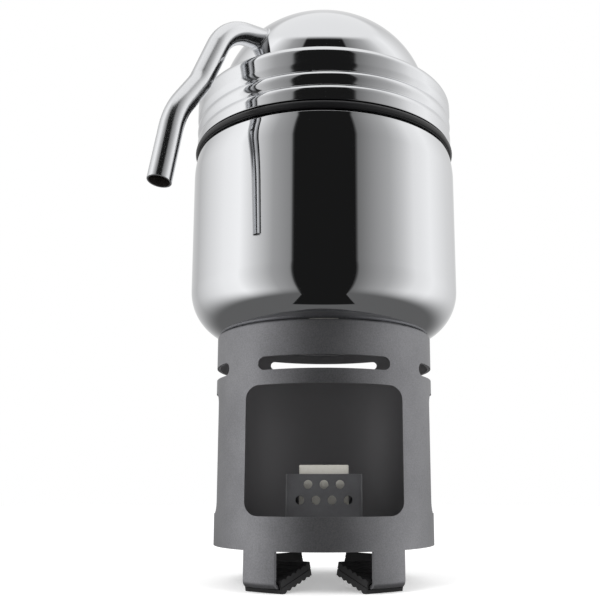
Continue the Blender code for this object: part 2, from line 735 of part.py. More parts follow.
def make_lid_dome(body, material):
    """Pressed dome with a flange that is welded under the lid's shoulder."""
    inner = DOME_RADIUS - DOME_WALL
    rim = DOME_FLANGE_TOP + DOME_RISE

    def bowl(radius, height, start, end, steps):
        return [(r, rim + z * height / radius) for r, z in arc((0, 0), radius, start, end, steps)]

    outline = [(0, rim + DOME_HEIGHT)]
    outline += bowl(DOME_RADIUS, DOME_HEIGHT, 90, 0, 7)[1:]
    outline += [
        (DOME_RADIUS, DOME_FLANGE_TOP),
        (DOME_RADIUS + DOME_FLANGE, DOME_FLANGE_TOP),
        (DOME_RADIUS + DOME_FLANGE, DOME_FLANGE_TOP - DOME_WALL),
        (inner, DOME_FLANGE_TOP - DOME_WALL),
    ]
    outline += bowl(inner, DOME_HEIGHT - DOME_WALL, 0, 90, 6)[:-1]
    outline += [(0, rim + DOME_HEIGHT - DOME_WALL)]
    dome = piece("lid_dome", turned(outline, closed=False), material, body)
    start, bend = (spout_point(Vector(place[:2])) for place in (SPOUT_START, SPOUT_BENDS[0]))
    hole = bmesh.new()
    add_pin(hole, (0, 0, 0), SPOUT_RADIUS + FIT_GAP, DOME_RADIUS, sides=SPOUT_SIDES)
    heading = (bend - start).to_track_quat("Z", "Y").to_matrix()
    bmesh.ops.rotate(hole, verts=hole.verts, matrix=heading)
    bmesh.ops.translate(hole, verts=hole.verts, vec=(start + bend) / 2)
    cut(dome, helper("spout_hole_cutter", hole, body))


def spout_point(place):
    """A point on the spout's middle line, from its distances beyond the pot and above the lid."""
    reach = POT_RADIUS + place.x
    heading = math.radians(SPOUT_ANGLE - 90)
    return Vector((reach * math.cos(heading), reach * math.sin(heading), LID_TOP + place.y))


def spout_route():
    """Points on the spout's middle line: straight runs that are joined by round bends."""
    start, mouth = Vector(SPOUT_START), Vector(SPOUT_MOUTH)
    corners = [Vector(bend[:2]) for bend in SPOUT_BENDS]
    route = [start]
    ends = zip([start] + corners, corners[1:] + [mouth])
    for corner, (before, after), (_, _, radius) in zip(corners, ends, SPOUT_BENDS):
        back = (before - corner).normalized()
        ahead = (after - corner).normalized()
        half = back.angle(ahead) / 2
        middle = corner + (back + ahead).normalized() * radius / math.sin(half)
        first = corner + back * radius / math.tan(half) - middle
        last = corner + ahead * radius / math.tan(half) - middle
        steps = max(2, round(first.angle(last) * radius / SPOUT_STEP))
        for step in range(steps + 1):
            route.append(middle + first.slerp(last, step / steps).normalized() * radius)
    return [spout_point(place) for place in route + [mouth]]


def make_spout(body, material):
    """Open tube that starts inside the dome and ends in a square-cut mouth."""
    route = spout_route()
    heading = math.radians(SPOUT_ANGLE - 90)
    sideways = Vector((-math.sin(heading), math.cos(heading), 0))
    bm = bmesh.new()
    rings = []
    for place, point in enumerate(route):
        before = route[max(place - 1, 0)]
        after = route[min(place + 1, len(route) - 1)]
        upward = (after - before).normalized().cross(sideways)
        outer, inner = (
            [
                bm.verts.new(point + radius * (math.cos(a) * sideways + math.sin(a) * upward))
                for a in (math.tau * side / SPOUT_SIDES for side in range(SPOUT_SIDES))
            ]
            for radius in (SPOUT_RADIUS, SPOUT_RADIUS - SPOUT_WALL)
        )
        rings.append((outer, inner))
    strips = [(a[wall], b[wall]) for a, b in zip(rings, rings[1:]) for wall in (0, 1)]
    strips += [rings[0], rings[-1]]
    for first, second in strips:
        for side in range(SPOUT_SIDES):
            following = (side + 1) % SPOUT_SIDES
            bm.faces.new((first[side], first[following], second[following], second[side]))
    piece("spout_tube", bm, material, body)


def stand_on_origin(root):
    """Puts the origin on the table, under the middle of the whole object's box."""
    bpy.context.view_layer.update()
    graph = bpy.context.evaluated_depsgraph_get()
    corners = []
    for made in bpy.data.objects:
        if made.type == "MESH" and not made.hide_render:
            mesh = made.evaluated_get(graph).to_mesh()
            corners += [made.matrix_world @ point.co for point in mesh.vertices]
    low = Vector([min(point[axis] for point in corners) for axis in range(3)])
    high = Vector([max(point[axis] for point in corners) for axis in range(3)])
    root.location = (-(low.x + high.x) / 2, -(low.y + high.y) / 2, -low.z)
    bpy.context.view_layer.update()


def main():
    clear_scene()
    anodised = finish("dark_anodised_aluminium", (0.13, 0.13, 0.145), 0.5)
    dark_sheet = finish("dark_sheet", (0.06, 0.065, 0.07), 0.5)
    polished = finish("polished_steel", (0.78, 0.78, 0.79), 0.08)
    steel = finish("bright_steel", (0.6, 0.6, 0.6), 0.3)
    rubber = finish("black_rubber", (0.02, 0.02, 0.022), 0.7, 0)
    silicone = finish("black_silicone", (0.015, 0.015, 0.015), 0.5, 0)
    fuel = finish("white_fuel", (0.85, 0.83, 0.78), 0.8, 0)

    stand = empty("stand")
    make_stand_shell(stand, anodised)
    make_feet(stand, rubber)
    make_base_plate(stand, dark_sheet)
    make_fuel_holder(stand, dark_sheet)
    make_rivets(stand, steel)

    tablet = empty("tablet_lift", stand)
    make_tablet(tablet, fuel)

    pot_body = empty("pot_lift", stand)
    make_pot(pot_body, polished)
    make_seal_ring(pot_body, silicone)

    funnel = empty("funnel_lift", pot_body)
    make_funnel(funnel, steel)

    lid_insert = empty("lid_rise", pot_body)
    make_lid_insert(lid_insert, silicone, steel)

    lid = empty("lid_turn", lid_insert)
    make_lid_band(lid, polished)
    make_lid_dome(lid, polished)
    make_spout(lid, polished)

    stand_on_origin(stand)


main()
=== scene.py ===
import json
import math

import bmesh
import bpy
from mathutils import Matrix, Vector, noise


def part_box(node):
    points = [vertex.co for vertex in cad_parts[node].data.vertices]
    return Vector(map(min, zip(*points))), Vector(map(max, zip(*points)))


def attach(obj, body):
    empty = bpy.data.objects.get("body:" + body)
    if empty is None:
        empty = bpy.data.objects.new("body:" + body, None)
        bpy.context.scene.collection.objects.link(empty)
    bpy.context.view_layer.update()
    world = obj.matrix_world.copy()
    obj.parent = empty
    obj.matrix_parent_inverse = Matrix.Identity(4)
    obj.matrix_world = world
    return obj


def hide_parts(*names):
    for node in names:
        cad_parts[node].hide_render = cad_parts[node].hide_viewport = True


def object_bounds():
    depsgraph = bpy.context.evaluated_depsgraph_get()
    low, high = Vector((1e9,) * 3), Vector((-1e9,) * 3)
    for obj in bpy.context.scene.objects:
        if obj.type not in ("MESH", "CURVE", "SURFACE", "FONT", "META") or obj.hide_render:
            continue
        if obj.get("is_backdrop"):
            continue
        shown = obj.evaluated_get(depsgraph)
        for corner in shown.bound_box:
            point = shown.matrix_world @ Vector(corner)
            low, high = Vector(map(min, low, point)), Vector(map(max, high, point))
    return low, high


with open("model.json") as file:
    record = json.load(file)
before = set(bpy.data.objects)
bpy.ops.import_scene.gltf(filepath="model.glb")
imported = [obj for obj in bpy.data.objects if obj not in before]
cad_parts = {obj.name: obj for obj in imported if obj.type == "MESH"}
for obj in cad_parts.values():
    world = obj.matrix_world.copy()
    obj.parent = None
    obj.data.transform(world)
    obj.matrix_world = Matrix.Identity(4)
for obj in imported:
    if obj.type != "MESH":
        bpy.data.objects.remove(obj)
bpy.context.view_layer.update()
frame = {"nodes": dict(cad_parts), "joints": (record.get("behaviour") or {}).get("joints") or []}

# Stand
# The round stand is drawn from one sheet of aluminium and hard anodised. Its window, vent slots and
# leg gaps are punched out, and the four legs are bent inwards to carry the rubber feet.
MM = 0.001
lid_joint = next(joint for joint in frame["joints"] if joint["name"] == "lid_turn")
AXIS = Vector((lid_joint["pos_m"][0], lid_joint["pos_m"][1], 0))
STAND_RADIUS = 35 * MM
STAND_WALL = 1 * MM
STAND_INNER = STAND_RADIUS - STAND_WALL
STAND_TOP = 77.8 * MM
RIM_ROUND = 0.8 * MM
SHELL_BOTTOM = 11.7 * MM
WINDOW_FLOOR = 21.3 * MM
WINDOW_HEAD = 59 * MM
WINDOW_CORNER = 4 * MM
FRONT_WINDOW = 46.4 * MM
SIDE_WINDOW = 22.8 * MM
SLOT_LENGTH = 39 * MM
SLOT_HEIGHT = 4 * MM
SLOT_MIDDLE = 65.3 * MM
BACK_SLOT_HEIGHT = 3 * MM
BACK_SLOT_MIDDLE = 73.5 * MM
LEG_WIDTH = 11 * MM
LEG_BEND = 2 * MM
LEG_ANGLES = {"front_right": 32.5, "back_right": 137, "back_left": 223, "front_left": 327.5}
FOOT_LENGTH = 15.3 * MM
FOOT_THICKNESS = 4.2 * MM
FOOT_SETBACK = 2.7 * MM
FOOT_RISE = 15.5
HEEL_FLAT = 1.8 * MM
TAB_RAISE = 0.3 * MM
TAB_SHORT = 3 * MM
PUNCHED_EDGE = 0.18 * MM
PUNCHED_ANGLE = 40
SLIVER = 0.001 * MM
SEAM = 0.0001 * MM
# Where the painted shade on the stand's inner face is full and where it ends, as distances from the axis.
INNER_SHADE_FULL = STAND_INNER + 0.2 * MM
INNER_SHADE_EDGE = STAND_INNER + 0.5 * MM


def linear(code):
    """The linear colour of an sRGB hex code."""
    shades = [int(code[place:place + 2], 16) / 255 for place in (1, 3, 5)]
    return [s / 12.92 if s <= 0.04045 else ((s + 0.055) / 1.055) ** 2.4 for s in shades] + [1]


def add(tree, kind, inputs, **settings):
    """Adds a node, with its settings, its values and the links into it."""
    made = tree.nodes.new("ShaderNode" + kind)
    for name, value in settings.items():
        setattr(made, name, value)
    for name, value in inputs.items():
        if isinstance(value, bpy.types.NodeSocket):
            tree.links.new(value, made.inputs[name])
        else:
            made.inputs[name].default_value = value
    return made


def new_material(name):
    """A material with its node tree and its Principled shader."""
    made = bpy.data.materials.new(name)
    made.use_nodes = True
    return made, made.node_tree, made.node_tree.nodes["Principled BSDF"]


def arc(middle, radius, start, end, steps):
    """Points on an arc in a plane, with its angles in degrees."""
    turns = [math.radians(start + (end - start) * step / steps) for step in range(steps + 1)]
    return [(middle[0] + radius * math.cos(a), middle[1] + radius * math.sin(a)) for a in turns]


def spun(outline, steps=288, closed=True):
    """A turned shape about Z, from (radius, height) points."""
    bm = bmesh.new()
    points = [bm.verts.new((radius, 0, height)) for radius, height in outline]
    ends = points[1:] + points[:1] if closed else points[1:]
    edges = [bm.edges.new(pair) for pair in zip(points, ends)]
    bmesh.ops.spin(bm, geom=points + edges, axis=(0, 0, 1), angle=math.tau, steps=steps, use_merge=True)
    bmesh.ops.remove_doubles(bm, verts=bm.verts, dist=SEAM)
    return bm


def extruded(outline, start, end):
    """A prism along Y, from (x, z) points."""
    bm = bmesh.new()
    face = bm.faces.new([bm.verts.new((x, start, z)) for x, z in outline])
    grown = bmesh.ops.extrude_face_region(bm, geom=[face])["geom"]
    moved = [item for item in grown if isinstance(item, bmesh.types.BMVert)]
    bmesh.ops.translate(bm, verts=moved, vec=(0, end - start, 0))
    return bm


def turned(bm, degrees, axis="Z"):
    bmesh.ops.rotate(bm, verts=bm.verts, matrix=Matrix.Rotation(math.radians(degrees), 3, axis))
    return bm


def block(low, high):
    bm = bmesh.new()
    bmesh.ops.create_cube(bm, size=1)
    bmesh.ops.scale(bm, verts=bm.verts, vec=[b - a for a, b in zip(low, high)])
    bmesh.ops.translate(bm, verts=bm.verts, vec=[(a + b) / 2 for a, b in zip(low, high)])
    return bm


def put(name, bm, material):
    """Makes an object of a mesh, on the pot's axis, with its object at the origin."""
    bmesh.ops.recalc_face_normals(bm, faces=bm.faces)
    bmesh.ops.translate(bm, verts=bm.verts, vec=AXIS)
    mesh = bpy.data.meshes.new(name)
    bm.to_mesh(mesh)
    bm.free()
    made = bpy.data.objects.new(name, mesh)
    bpy.context.scene.collection.objects.link(made)
    if material:
        mesh.materials.append(material)
    return made


def punch(target, cutters, edge):
    """Cuts shapes out of a piece and breaks its sharp edges."""
    tools = [put("cutter", bm, None) for bm in cutters]
    for tool in tools:
        cut = target.modifiers.new("cut", "BOOLEAN")
        cut.operation = "DIFFERENCE"
        cut.solver = "EXACT"
        cut.object = tool
    if edge:
        soft = target.modifiers.new("edge", "BEVEL")
        soft.width = edge
        soft.segments = 2
        soft.limit_method = "ANGLE"
        soft.angle_limit = math.radians(PUNCHED_ANGLE)
    settle(target)
    for tool in tools:
        bpy.data.objects.remove(tool)


def settle(piece):
    """Applies a piece's modifiers and joins the doubled points that cuts leave."""
    bpy.context.view_layer.update()
    graph = bpy.context.evaluated_depsgraph_get()
    mesh = bpy.data.meshes.new_from_object(piece.evaluated_get(graph), depsgraph=graph)
    piece.modifiers.clear()
    bm = bmesh.new()
    bm.from_mesh(mesh)
    bmesh.ops.remove_doubles(bm, verts=bm.verts, dist=SLIVER)
    bm.to_mesh(mesh)
    bm.free()
    piece.data = mesh
    smooth(piece)


def smooth(piece, angle=32):
    """Smooth shading with sharp edges, where the large faces set the light."""
    piece.data.shade_smooth()
    piece.data.set_sharp_from_angle(angle=math.radians(angle))
    even = piece.modifiers.new("even", "WEIGHTED_NORMAL")
    even.keep_sharp = True
    return piece


def rounded_rectangle(width, bottom, top, corner):
    side = width / 2 - corner
    corners = ((side, bottom, -90), (side, top, 0), (-side, top, 90), (-side, bottom, 180))
    points = []
    for x, z, start in corners:
        middle = (x, z + corner if z == bottom else z - corner)
        points += arc(middle, corner, start, start + 90, 10)
    return points


def slot(length, middle, height):
    reach = (length - height) / 2
    return arc((reach, middle), height / 2, -90, 90, 12) + arc((-reach, middle), height / 2, 90, 270, 12)


def leg_gap(first, second):
    """The wedge that is punched out between two legs, under the shell."""
    half = LEG_WIDTH / 2
    between = math.radians(second - first)
    reach = half * (1 + math.cos(between)) / math.sin(between)
    far = 4 * STAND_RADIUS
    lines = []
    for angle, side in ((first, 1), (second, -1)):
        heading = math.radians(angle - 90)
        along = Vector((math.cos(heading), math.sin(heading)))
        lines.append((Vector((-along.y, along.x)) * side * half, along))
    (start_a, along_a), (start_b, along_b) = lines
    corners = [start_a + along_a * reach, start_a + along_a * far, start_b + along_b * far]
    bm = bmesh.new()
    face = bm.faces.new([bm.verts.new((point.x, point.y, -STAND_RADIUS)) for point in corners])
    grown = bmesh.ops.extrude_face_region(bm, geom=[face])["geom"]
    moved = [item for item in grown if isinstance(item, bmesh.types.BMVert)]
    bmesh.ops.translate(bm, verts=moved, vec=(0, 0, STAND_RADIUS + SHELL_BOTTOM))
    return bm


# Hard anodised aluminium: a dull metal with a fine etched grain that scatters its reflections. The real
# grain is under a tenth of a millimetre, and this one is drawn at 0.4 mm to show. Its inner face carries
# painted shade, a little darker, full from the window's floor up and fading out towards the shell's foot,
# and it is less metallic there.
anodised, tree, shader = new_material("hard_anodised_aluminium")
ANODISED = "#78787b"
ANODISED_WORN = "#949497"
# The inner face's colour, a little darker than the sheet as painted shade.
PAINTED_INNER_SHADE = "#767577"
place = add(tree, "TexCoord", {}).outputs["Object"]
etch = add(tree, "TexNoise", {"Vector": place, "Scale": 2600, "Detail": 3, "Roughness": 0.6})
cloud = add(tree, "TexNoise", {"Vector": place, "Scale": 45, "Detail": 4, "Roughness": 0.55})
both = add(tree, "Math", {0: etch.outputs["Fac"], 1: cloud.outputs["Fac"]}, operation="ADD")
mottle = add(tree, "MapRange", {"Value": both.outputs[0], "From Min": 0.7, "From Max": 1.3})
tone = add(
    tree,
    "Mix",
    {"Factor": mottle.outputs["Result"], "A": linear(ANODISED), "B": linear(ANODISED_WORN)},
    data_type="RGBA",
)
centred = add(tree, "Mapping", {"Vector": place, "Location": -AXIS, "Scale": (1, 1, 0)})
out = add(tree, "VectorMath", {0: centred.outputs["Vector"]}, operation="LENGTH").outputs["Value"]
# Painted shade on the inner face: it grows from the shell's foot, is full from the window's floor up, and
# also makes the metal less metallic.
inside = add(tree, "MapRange", {"Value": out, "From Min": INNER_SHADE_EDGE, "From Max": INNER_SHADE_FULL})
height = add(tree, "SeparateXYZ", {"Vector": place}).outputs["Z"]
above = add(tree, "MapRange", {"Value": height, "From Min": SHELL_BOTTOM, "From Max": WINDOW_FLOOR})
inner_shade_mask = add(tree, "Math", {0: inside.outputs["Result"], 1: above.outputs["Result"]}, operation="MULTIPLY")
tone = add(
    tree,
    "Mix",
    {"Factor": inner_shade_mask.outputs[0], "A": tone.outputs["Result"], "B": linear(PAINTED_INNER_SHADE)},
    data_type="RGBA",
)
gloss = add(tree, "MapRange", {"Value": cloud.outputs["Fac"], "To Min": 0.37, "To Max": 0.45})
grain = add(tree, "Bump", {"Height": etch.outputs["Fac"], "Strength": 0.3, "Distance": 0.05 * MM})
metal = add(tree, "MapRange", {"Value": inner_shade_mask.outputs[0], "To Min": 0.88, "To Max": 0.25})
tree.links.new(tone.outputs["Result"], shader.inputs["Base Color"])
tree.links.new(metal.outputs["Result"], shader.inputs["Metallic"])
tree.links.new(gloss.outputs["Result"], shader.inputs["Roughness"])
tree.links.new(grain.outputs["Normal"], shader.inputs["Normal"])

# The shell's section: its wall, the bend at the leg's foot and the tab that slopes inwards from it.
rise = math.radians(FOOT_RISE)
heel_middle = FOOT_THICKNESS / 2 / math.cos(rise) - HEEL_FLAT * math.tan(rise)
bend_r = STAND_RADIUS - LEG_BEND
mid_bend = LEG_BEND - STAND_WALL / 2
bend_end = bend_r - mid_bend * math.sin(rise)
bend_z = heel_middle + TAB_RAISE + (STAND_RADIUS - FOOT_SETBACK - bend_end) * math.tan(rise)
bend_z += mid_bend * math.cos(rise)
tab_end = STAND_RADIUS - FOOT_SETBACK - (FOOT_LENGTH - TAB_SHORT) * math.cos(rise)
tab_start = bend_r - LEG_BEND * math.sin(rise)
under_tip = bend_z - LEG_BEND * math.cos(rise) + (tab_start - tab_end) * math.tan(rise)
over_tip = under_tip + STAND_WALL / math.cos(rise)
outline = [(STAND_INNER, STAND_TOP)]
outline += arc((STAND_RADIUS - RIM_ROUND, STAND_TOP - RIM_ROUND), RIM_ROUND, 90, 0, 10)
outline += arc((bend_r, bend_z), LEG_BEND, 0, -90 - FOOT_RISE, 16)
outline += [(tab_end, under_tip), (tab_end, over_tip)]
outline += arc((bend_r, bend_z), LEG_BEND - STAND_WALL, -90 - FOOT_RISE, 0, 12)
shell = put("stand_sheet", spun(outline), anodised)
far = 2 * STAND_RADIUS
side_opening = rounded_rectangle(SIDE_WINDOW, WINDOW_FLOOR, WINDOW_HEAD, WINDOW_CORNER)
openings = [
    extruded(rounded_rectangle(FRONT_WINDOW, WINDOW_FLOOR, WINDOW_HEAD, WINDOW_CORNER), -far, 0),
    turned(extruded(side_opening, -far, far), 90),
    extruded(slot(SLOT_LENGTH, SLOT_MIDDLE, SLOT_HEIGHT), -far, 0),
    turned(extruded(slot(SLOT_LENGTH, SLOT_MIDDLE, SLOT_HEIGHT), -far, far), 90),
    extruded(slot(SLOT_LENGTH, BACK_SLOT_MIDDLE, BACK_SLOT_HEIGHT), 0, far),
]
angles = sorted(LEG_ANGLES.values())
for first, second in zip(angles, angles[1:] + [angles[0] + 360]):
    openings.append(leg_gap(first, second))
punch(shell, openings, PUNCHED_EDGE)
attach(shell, "stand")
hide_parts("stand_shell")

# Feet
# Each foot is a ribbed sleeve of black rubber, moulded in one piece and pushed on a leg's tab. A fine
# parting line runs round its side where the two halves of the mould met.
FOOT_WIDTH = 13 * MM
FOOT_RIBS = 6
RIB_DEPTH = 0.6 * MM
END_WALL = 1.6 * MM
POCKET_GAP = 0.4 * MM
PARTING_LINE = 0.22 * MM
PARTING_DEPTH = 0.2 * MM

# Moulded rubber: black, slightly dusty, with a texture that keeps it dull. Real moulds have a finer one
# than the half millimetre drawn here.
rubber, tree, shader = new_material("moulded_rubber")
RUBBER = "#1b1b1d"
RUBBER_DUST = "#2c2b2c"
place = add(tree, "TexCoord", {}).outputs["Object"]
dust = add(tree, "TexNoise", {"Vector": place, "Scale": 160, "Detail": 5, "Roughness": 0.65})
tone = add(
    tree,
    "Mix",
    {"Factor": dust.outputs["Fac"], "A": linear(RUBBER), "B": linear(RUBBER_DUST)},
    data_type="RGBA",
)
pores = add(tree, "TexNoise", {"Vector": place, "Scale": 2200, "Detail": 2})
skin = add(tree, "Bump", {"Height": pores.outputs["Fac"], "Strength": 0.25, "Distance": 0.08 * MM})
gloss = add(tree, "MapRange", {"Value": dust.outputs["Fac"], "To Min": 0.5, "To Max": 0.72})
tree.links.new(tone.outputs["Result"], shader.inputs["Base Color"])
tree.links.new(gloss.outputs["Result"], shader.inputs["Roughness"])
tree.links.new(skin.outputs["Normal"], shader.inputs["Normal"])


def ribbed_side():
    """Side view of a foot along its length, with round ribs over and under its middle plane."""
    steps = 10 * FOOT_RIBS
    top = []
    for step in range(steps + 1):
        wave = abs(math.sin(math.pi * FOOT_RIBS * step / steps))
        depth = RIB_DEPTH * (1 - wave) if 0 < step < steps else 0
        top.append((FOOT_LENGTH * step / steps, FOOT_THICKNESS / 2 - depth))
    return top + [(x, -z) for x, z in reversed(top)]


heel = STAND_RADIUS - FOOT_SETBACK
for name, angle in LEG_ANGLES.items():
    bm = turned(extruded(ribbed_side(), -FOOT_WIDTH / 2, FOOT_WIDTH / 2), 90)
    turned(bm, FOOT_RISE, "X")
    bmesh.ops.translate(bm, verts=bm.verts, vec=(0, -heel, heel_middle))
    sliced = bmesh.ops.bisect_plane(
        bm,
        geom=bm.verts[:] + bm.edges[:] + bm.faces[:],
        plane_co=(0, 0, 0),
        plane_no=(0, 0, -1),
        clear_outer=True,
    )
    rim = [item for item in sliced["geom_cut"] if isinstance(item, bmesh.types.BMEdge)]
    bmesh.ops.contextual_create(bm, geom=rim)
    foot = put(f"foot_sleeve_{name}", turned(bm, angle), rubber)
    half_pocket = LEG_WIDTH / 2 + POCKET_GAP
    thick = STAND_WALL / 2 + POCKET_GAP
    cutters = [block((-half_pocket, -FOOT_LENGTH, -thick), (half_pocket, FOOT_LENGTH - END_WALL, thick))]
    for side in (-1, 1):
        reach = sorted((side * (FOOT_WIDTH / 2 - PARTING_DEPTH), side * FOOT_WIDTH))
        low = (reach[0], -FOOT_LENGTH, -PARTING_LINE / 2)
        cutters.append(block(low, (reach[1], 2 * FOOT_LENGTH, PARTING_LINE / 2)))
    for number, cutter in enumerate(cutters):
        turned(cutter, FOOT_RISE, "X")
        lift = heel_middle + (TAB_RAISE if number == 0 else 0)
        bmesh.ops.translate(cutter, verts=cutter.verts, vec=(0, -heel, lift))
        turned(cutter, angle)
    punch(foot, cutters, None)
    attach(foot, "stand")
    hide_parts(f"foot_{name}")

# Base plate
# The floor of the stand is a shallow dish of the same sheet, pressed in from below. A ring of holes
# lets air up to the fuel, and soot has darkened it.
BASE_TOP = 16 * MM
BASE_WALL = 0.8 * MM
BASE_RIM = 3.6 * MM
BASE_CORNER = 1.2 * MM
FIT_GAP = 0.3 * MM
BASE_RADIUS = STAND_INNER - FIT_GAP
AIR_HOLE = 5 * MM
AIR_HOLES = 8
AIR_RING = 24.5 * MM
CENTRE_HOLE = 10 * MM
RIVET_HOLE = 1.3 * MM
RIVET_PLACE = 14.35 * MM
PLATE_EDGE = 0.12 * MM

# Sooted sheet: anodised aluminium under a thin grey-black film, patchy and dull. The patches are about
# a centimetre wide, with finer ones in them.
sooted, tree, shader = new_material("sooted_anodised_sheet")
SHEET = "#808184"
SOOT = "#4e4d4f"
place = add(tree, "TexCoord", {}).outputs["Object"]
film = add(tree, "TexNoise", {"Vector": place, "Scale": 90, "Detail": 6, "Roughness": 0.6})
tone = add(
    tree,
    "Mix",
    {"Factor": film.outputs["Fac"], "A": linear(SHEET), "B": linear(SOOT)},
    data_type="RGBA",
)
gloss = add(tree, "MapRange", {"Value": film.outputs["Fac"], "To Min": 0.35, "To Max": 0.6})
flakes = add(tree, "TexNoise", {"Vector": place, "Scale": 1500, "Detail": 3})
skin = add(tree, "Bump", {"Height": flakes.outputs["Fac"], "Strength": 0.15, "Distance": 0.06 * MM})
shader.inputs["Metallic"].default_value = 0.4
tree.links.new(tone.outputs["Result"], shader.inputs["Base Color"])
tree.links.new(gloss.outputs["Result"], shader.inputs["Roughness"])
tree.links.new(skin.outputs["Normal"], shader.inputs["Normal"])


def drill(places, radius, depth, axis="Z", sides=32):
    """One mesh with a round pin at each place."""
    bm = bmesh.new()
    lean = {"X": (90, "Y"), "Y": (90, "X"), "Z": (0, "X")}[axis]
    for middle in places:
        pin = bmesh.ops.create_cone(
            bm, cap_ends=True, segments=sides, radius1=radius, radius2=radius, depth=depth
        )["verts"]
        matrix = Matrix.Rotation(math.radians(lean[0]), 3, lean[1])
        bmesh.ops.rotate(bm, verts=pin, matrix=matrix)
        bmesh.ops.translate(bm, verts=pin, vec=middle)
    return bm


corner = (BASE_RADIUS - BASE_CORNER, BASE_TOP - BASE_CORNER)
outline = [(0, BASE_TOP)] + arc(corner, BASE_CORNER, 90, 0, 8)
outline += [(BASE_RADIUS, BASE_TOP - BASE_RIM), (BASE_RADIUS - BASE_WALL, BASE_TOP - BASE_RIM)]
outline += arc(corner, BASE_CORNER - BASE_WALL, 0, 90, 6) + [(0, BASE_TOP - BASE_WALL)]
plate = put("stand_floor", spun(outline, 160, closed=False), sooted)
ring = [math.tau * (hole + 0.5) / AIR_HOLES for hole in range(AIR_HOLES)]
air = [(AIR_RING * math.cos(a), AIR_RING * math.sin(a), BASE_TOP) for a in ring]
rivets = [(side * RIVET_PLACE, 0, BASE_TOP) for side in (-1, 1)]
cutters = [
    drill([(0, 0, BASE_TOP)], CENTRE_HOLE / 2, 4 * BASE_WALL),
    drill(air, AIR_HOLE / 2, 4 * BASE_WALL),
    drill(rivets, RIVET_HOLE, 4 * BASE_WALL),
]
punch(plate, cutters, PLATE_EDGE)
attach(plate, "stand")
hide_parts("base_plate")

# Fuel box
# A folded box of thin sheet holds the fuel over a shelf with air holes. Its walls are drilled in two
# rows, an arch at its foot lets air in, and two tabs are riveted to the floor.
BOX_WIDTH = 23.7 * MM
BOX_HEIGHT = 17.2 * MM
BOX_WALL = 0.8 * MM
BOX_BOTTOM = BASE_TOP + FIT_GAP
BOX_SHELF = 5.6 * MM
BOX_CORNER = 1.1 * MM
BOX_HOLE = 2.7 * MM
BOX_PITCH = 4.95 * MM
BOX_TOP_ROW = 3.2 * MM
BOX_ROWS = 4.8 * MM
ARCH_WIDTH = 12 * MM
ARCH_HEIGHT = 3 * MM
SHELF_HOLE = 3 * MM
SHELF_PITCH = 5 * MM
TAB_LENGTH = 5 * MM
TAB_WIDTH = 9 * MM
BOX_EDGE = 0.1 * MM


def upright_box(half, low, high, corner):
    """A square prism with its four upright edges rounded."""
    bm = block((-half, -half, low), (half, half, high))
    middle = (low + high) / 2
    upright = []
    for edge in bm.edges:
        first, second = edge.verts
        if (first.co.z - middle) * (second.co.z - middle) < 0:
            upright.append(edge)
    bmesh.ops.bevel(bm, geom=upright, offset=corner, segments=6, profile=0.5, affect="EDGES", material=-1)
    return bm


half = BOX_WIDTH / 2
box_top = BOX_BOTTOM + BOX_HEIGHT
shelf_top = BOX_BOTTOM + BOX_SHELF + BOX_WALL
fuel_box = put("fuel_box", upright_box(half, BOX_BOTTOM, box_top, BOX_CORNER), sooted)
reach = half + TAB_LENGTH
tab_low = (-reach, -TAB_WIDTH / 2, BOX_BOTTOM)
tabs = put("tabs", block(tab_low, (reach, TAB_WIDTH / 2, BOX_BOTTOM + BOX_WALL)), None)
weld = fuel_box.modifiers.new("tabs", "BOOLEAN")
weld.operation = "UNION"
weld.object = tabs
settle(fuel_box)
bpy.data.objects.remove(tabs)
inner = half - BOX_WALL
inner_corner = BOX_CORNER - BOX_WALL
cutters = [
    upright_box(inner, 0, shelf_top - BOX_WALL, inner_corner),
    upright_box(inner, shelf_top, 2 * box_top, inner_corner),
    block((-ARCH_WIDTH / 2, -2 * half, 0), (ARCH_WIDTH / 2, 2 * half, BOX_BOTTOM + ARCH_HEIGHT)),
]
for axis in ("X", "Y"):
    holes = []
    for row, count in ((0, 3), (1, 4)):
        height = box_top - BOX_TOP_ROW - row * BOX_ROWS
        for number in range(count):
            across = (number - (count - 1) / 2) * BOX_PITCH
            holes.append((across, 0, height) if axis == "Y" else (0, across, height))
    cutters.append(drill(holes, BOX_HOLE / 2, 3 * BOX_WIDTH, axis))
grid = [(x * SHELF_PITCH, y * SHELF_PITCH, shelf_top) for x in (-1, 0, 1) for y in (-1, 0, 1)]
cutters.append(drill(grid, SHELF_HOLE / 2, 3 * BOX_WALL))
cutters.append(drill([(x, y, BOX_BOTTOM) for x, y, _ in rivets], RIVET_HOLE, 3 * BOX_WALL))
punch(fuel_box, cutters, BOX_EDGE)
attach(fuel_box, "stand")
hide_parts("fuel_holder")

# Rivets and inner steel parts
# The rivets, the funnel that holds the coffee and the two sieves are bright pressed steel. They are
# inside the stand and the pot, so their turned shapes stay as they are and get the steel's finish.
bright_steel, tree, shader = new_material("bright_pressed_steel")
STEEL = "#c9c8c6"
place = add(tree, "TexCoord", {}).outputs["Object"]
drawn = add(tree, "TexNoise", {"Vector": place, "Scale": 600, "Detail": 4})
gloss = add(tree, "MapRange", {"Value": drawn.outputs["Fac"], "To Min": 0.2, "To Max": 0.36})
shader.inputs["Base Color"].default_value = linear(STEEL)
shader.inputs["Metallic"].default_value = 1
tree.links.new(gloss.outputs["Result"], shader.inputs["Roughness"])
for name in (
    "holder_rivet_left",
    "holder_rivet_right",
    "funnel_basket",
    "funnel_stem",
    "funnel_sieve",
    "lid_sieve",
):
    frame["nodes"][name].material_slots[0].material = bright_steel

# Fuel tablet
# The fuel is a pressed white block with blunt edges. Its faces are chalky and slightly uneven from
# the press, and it lies loose in its box.
TABLET_SIDE = 15.6 * MM
TABLET_HEIGHT = 13.4 * MM
TABLET_EDGE = 0.7 * MM
TABLET_ROUGH = 0.1 * MM
TABLET_LUMPS = 700
TABLET_CUTS = 17

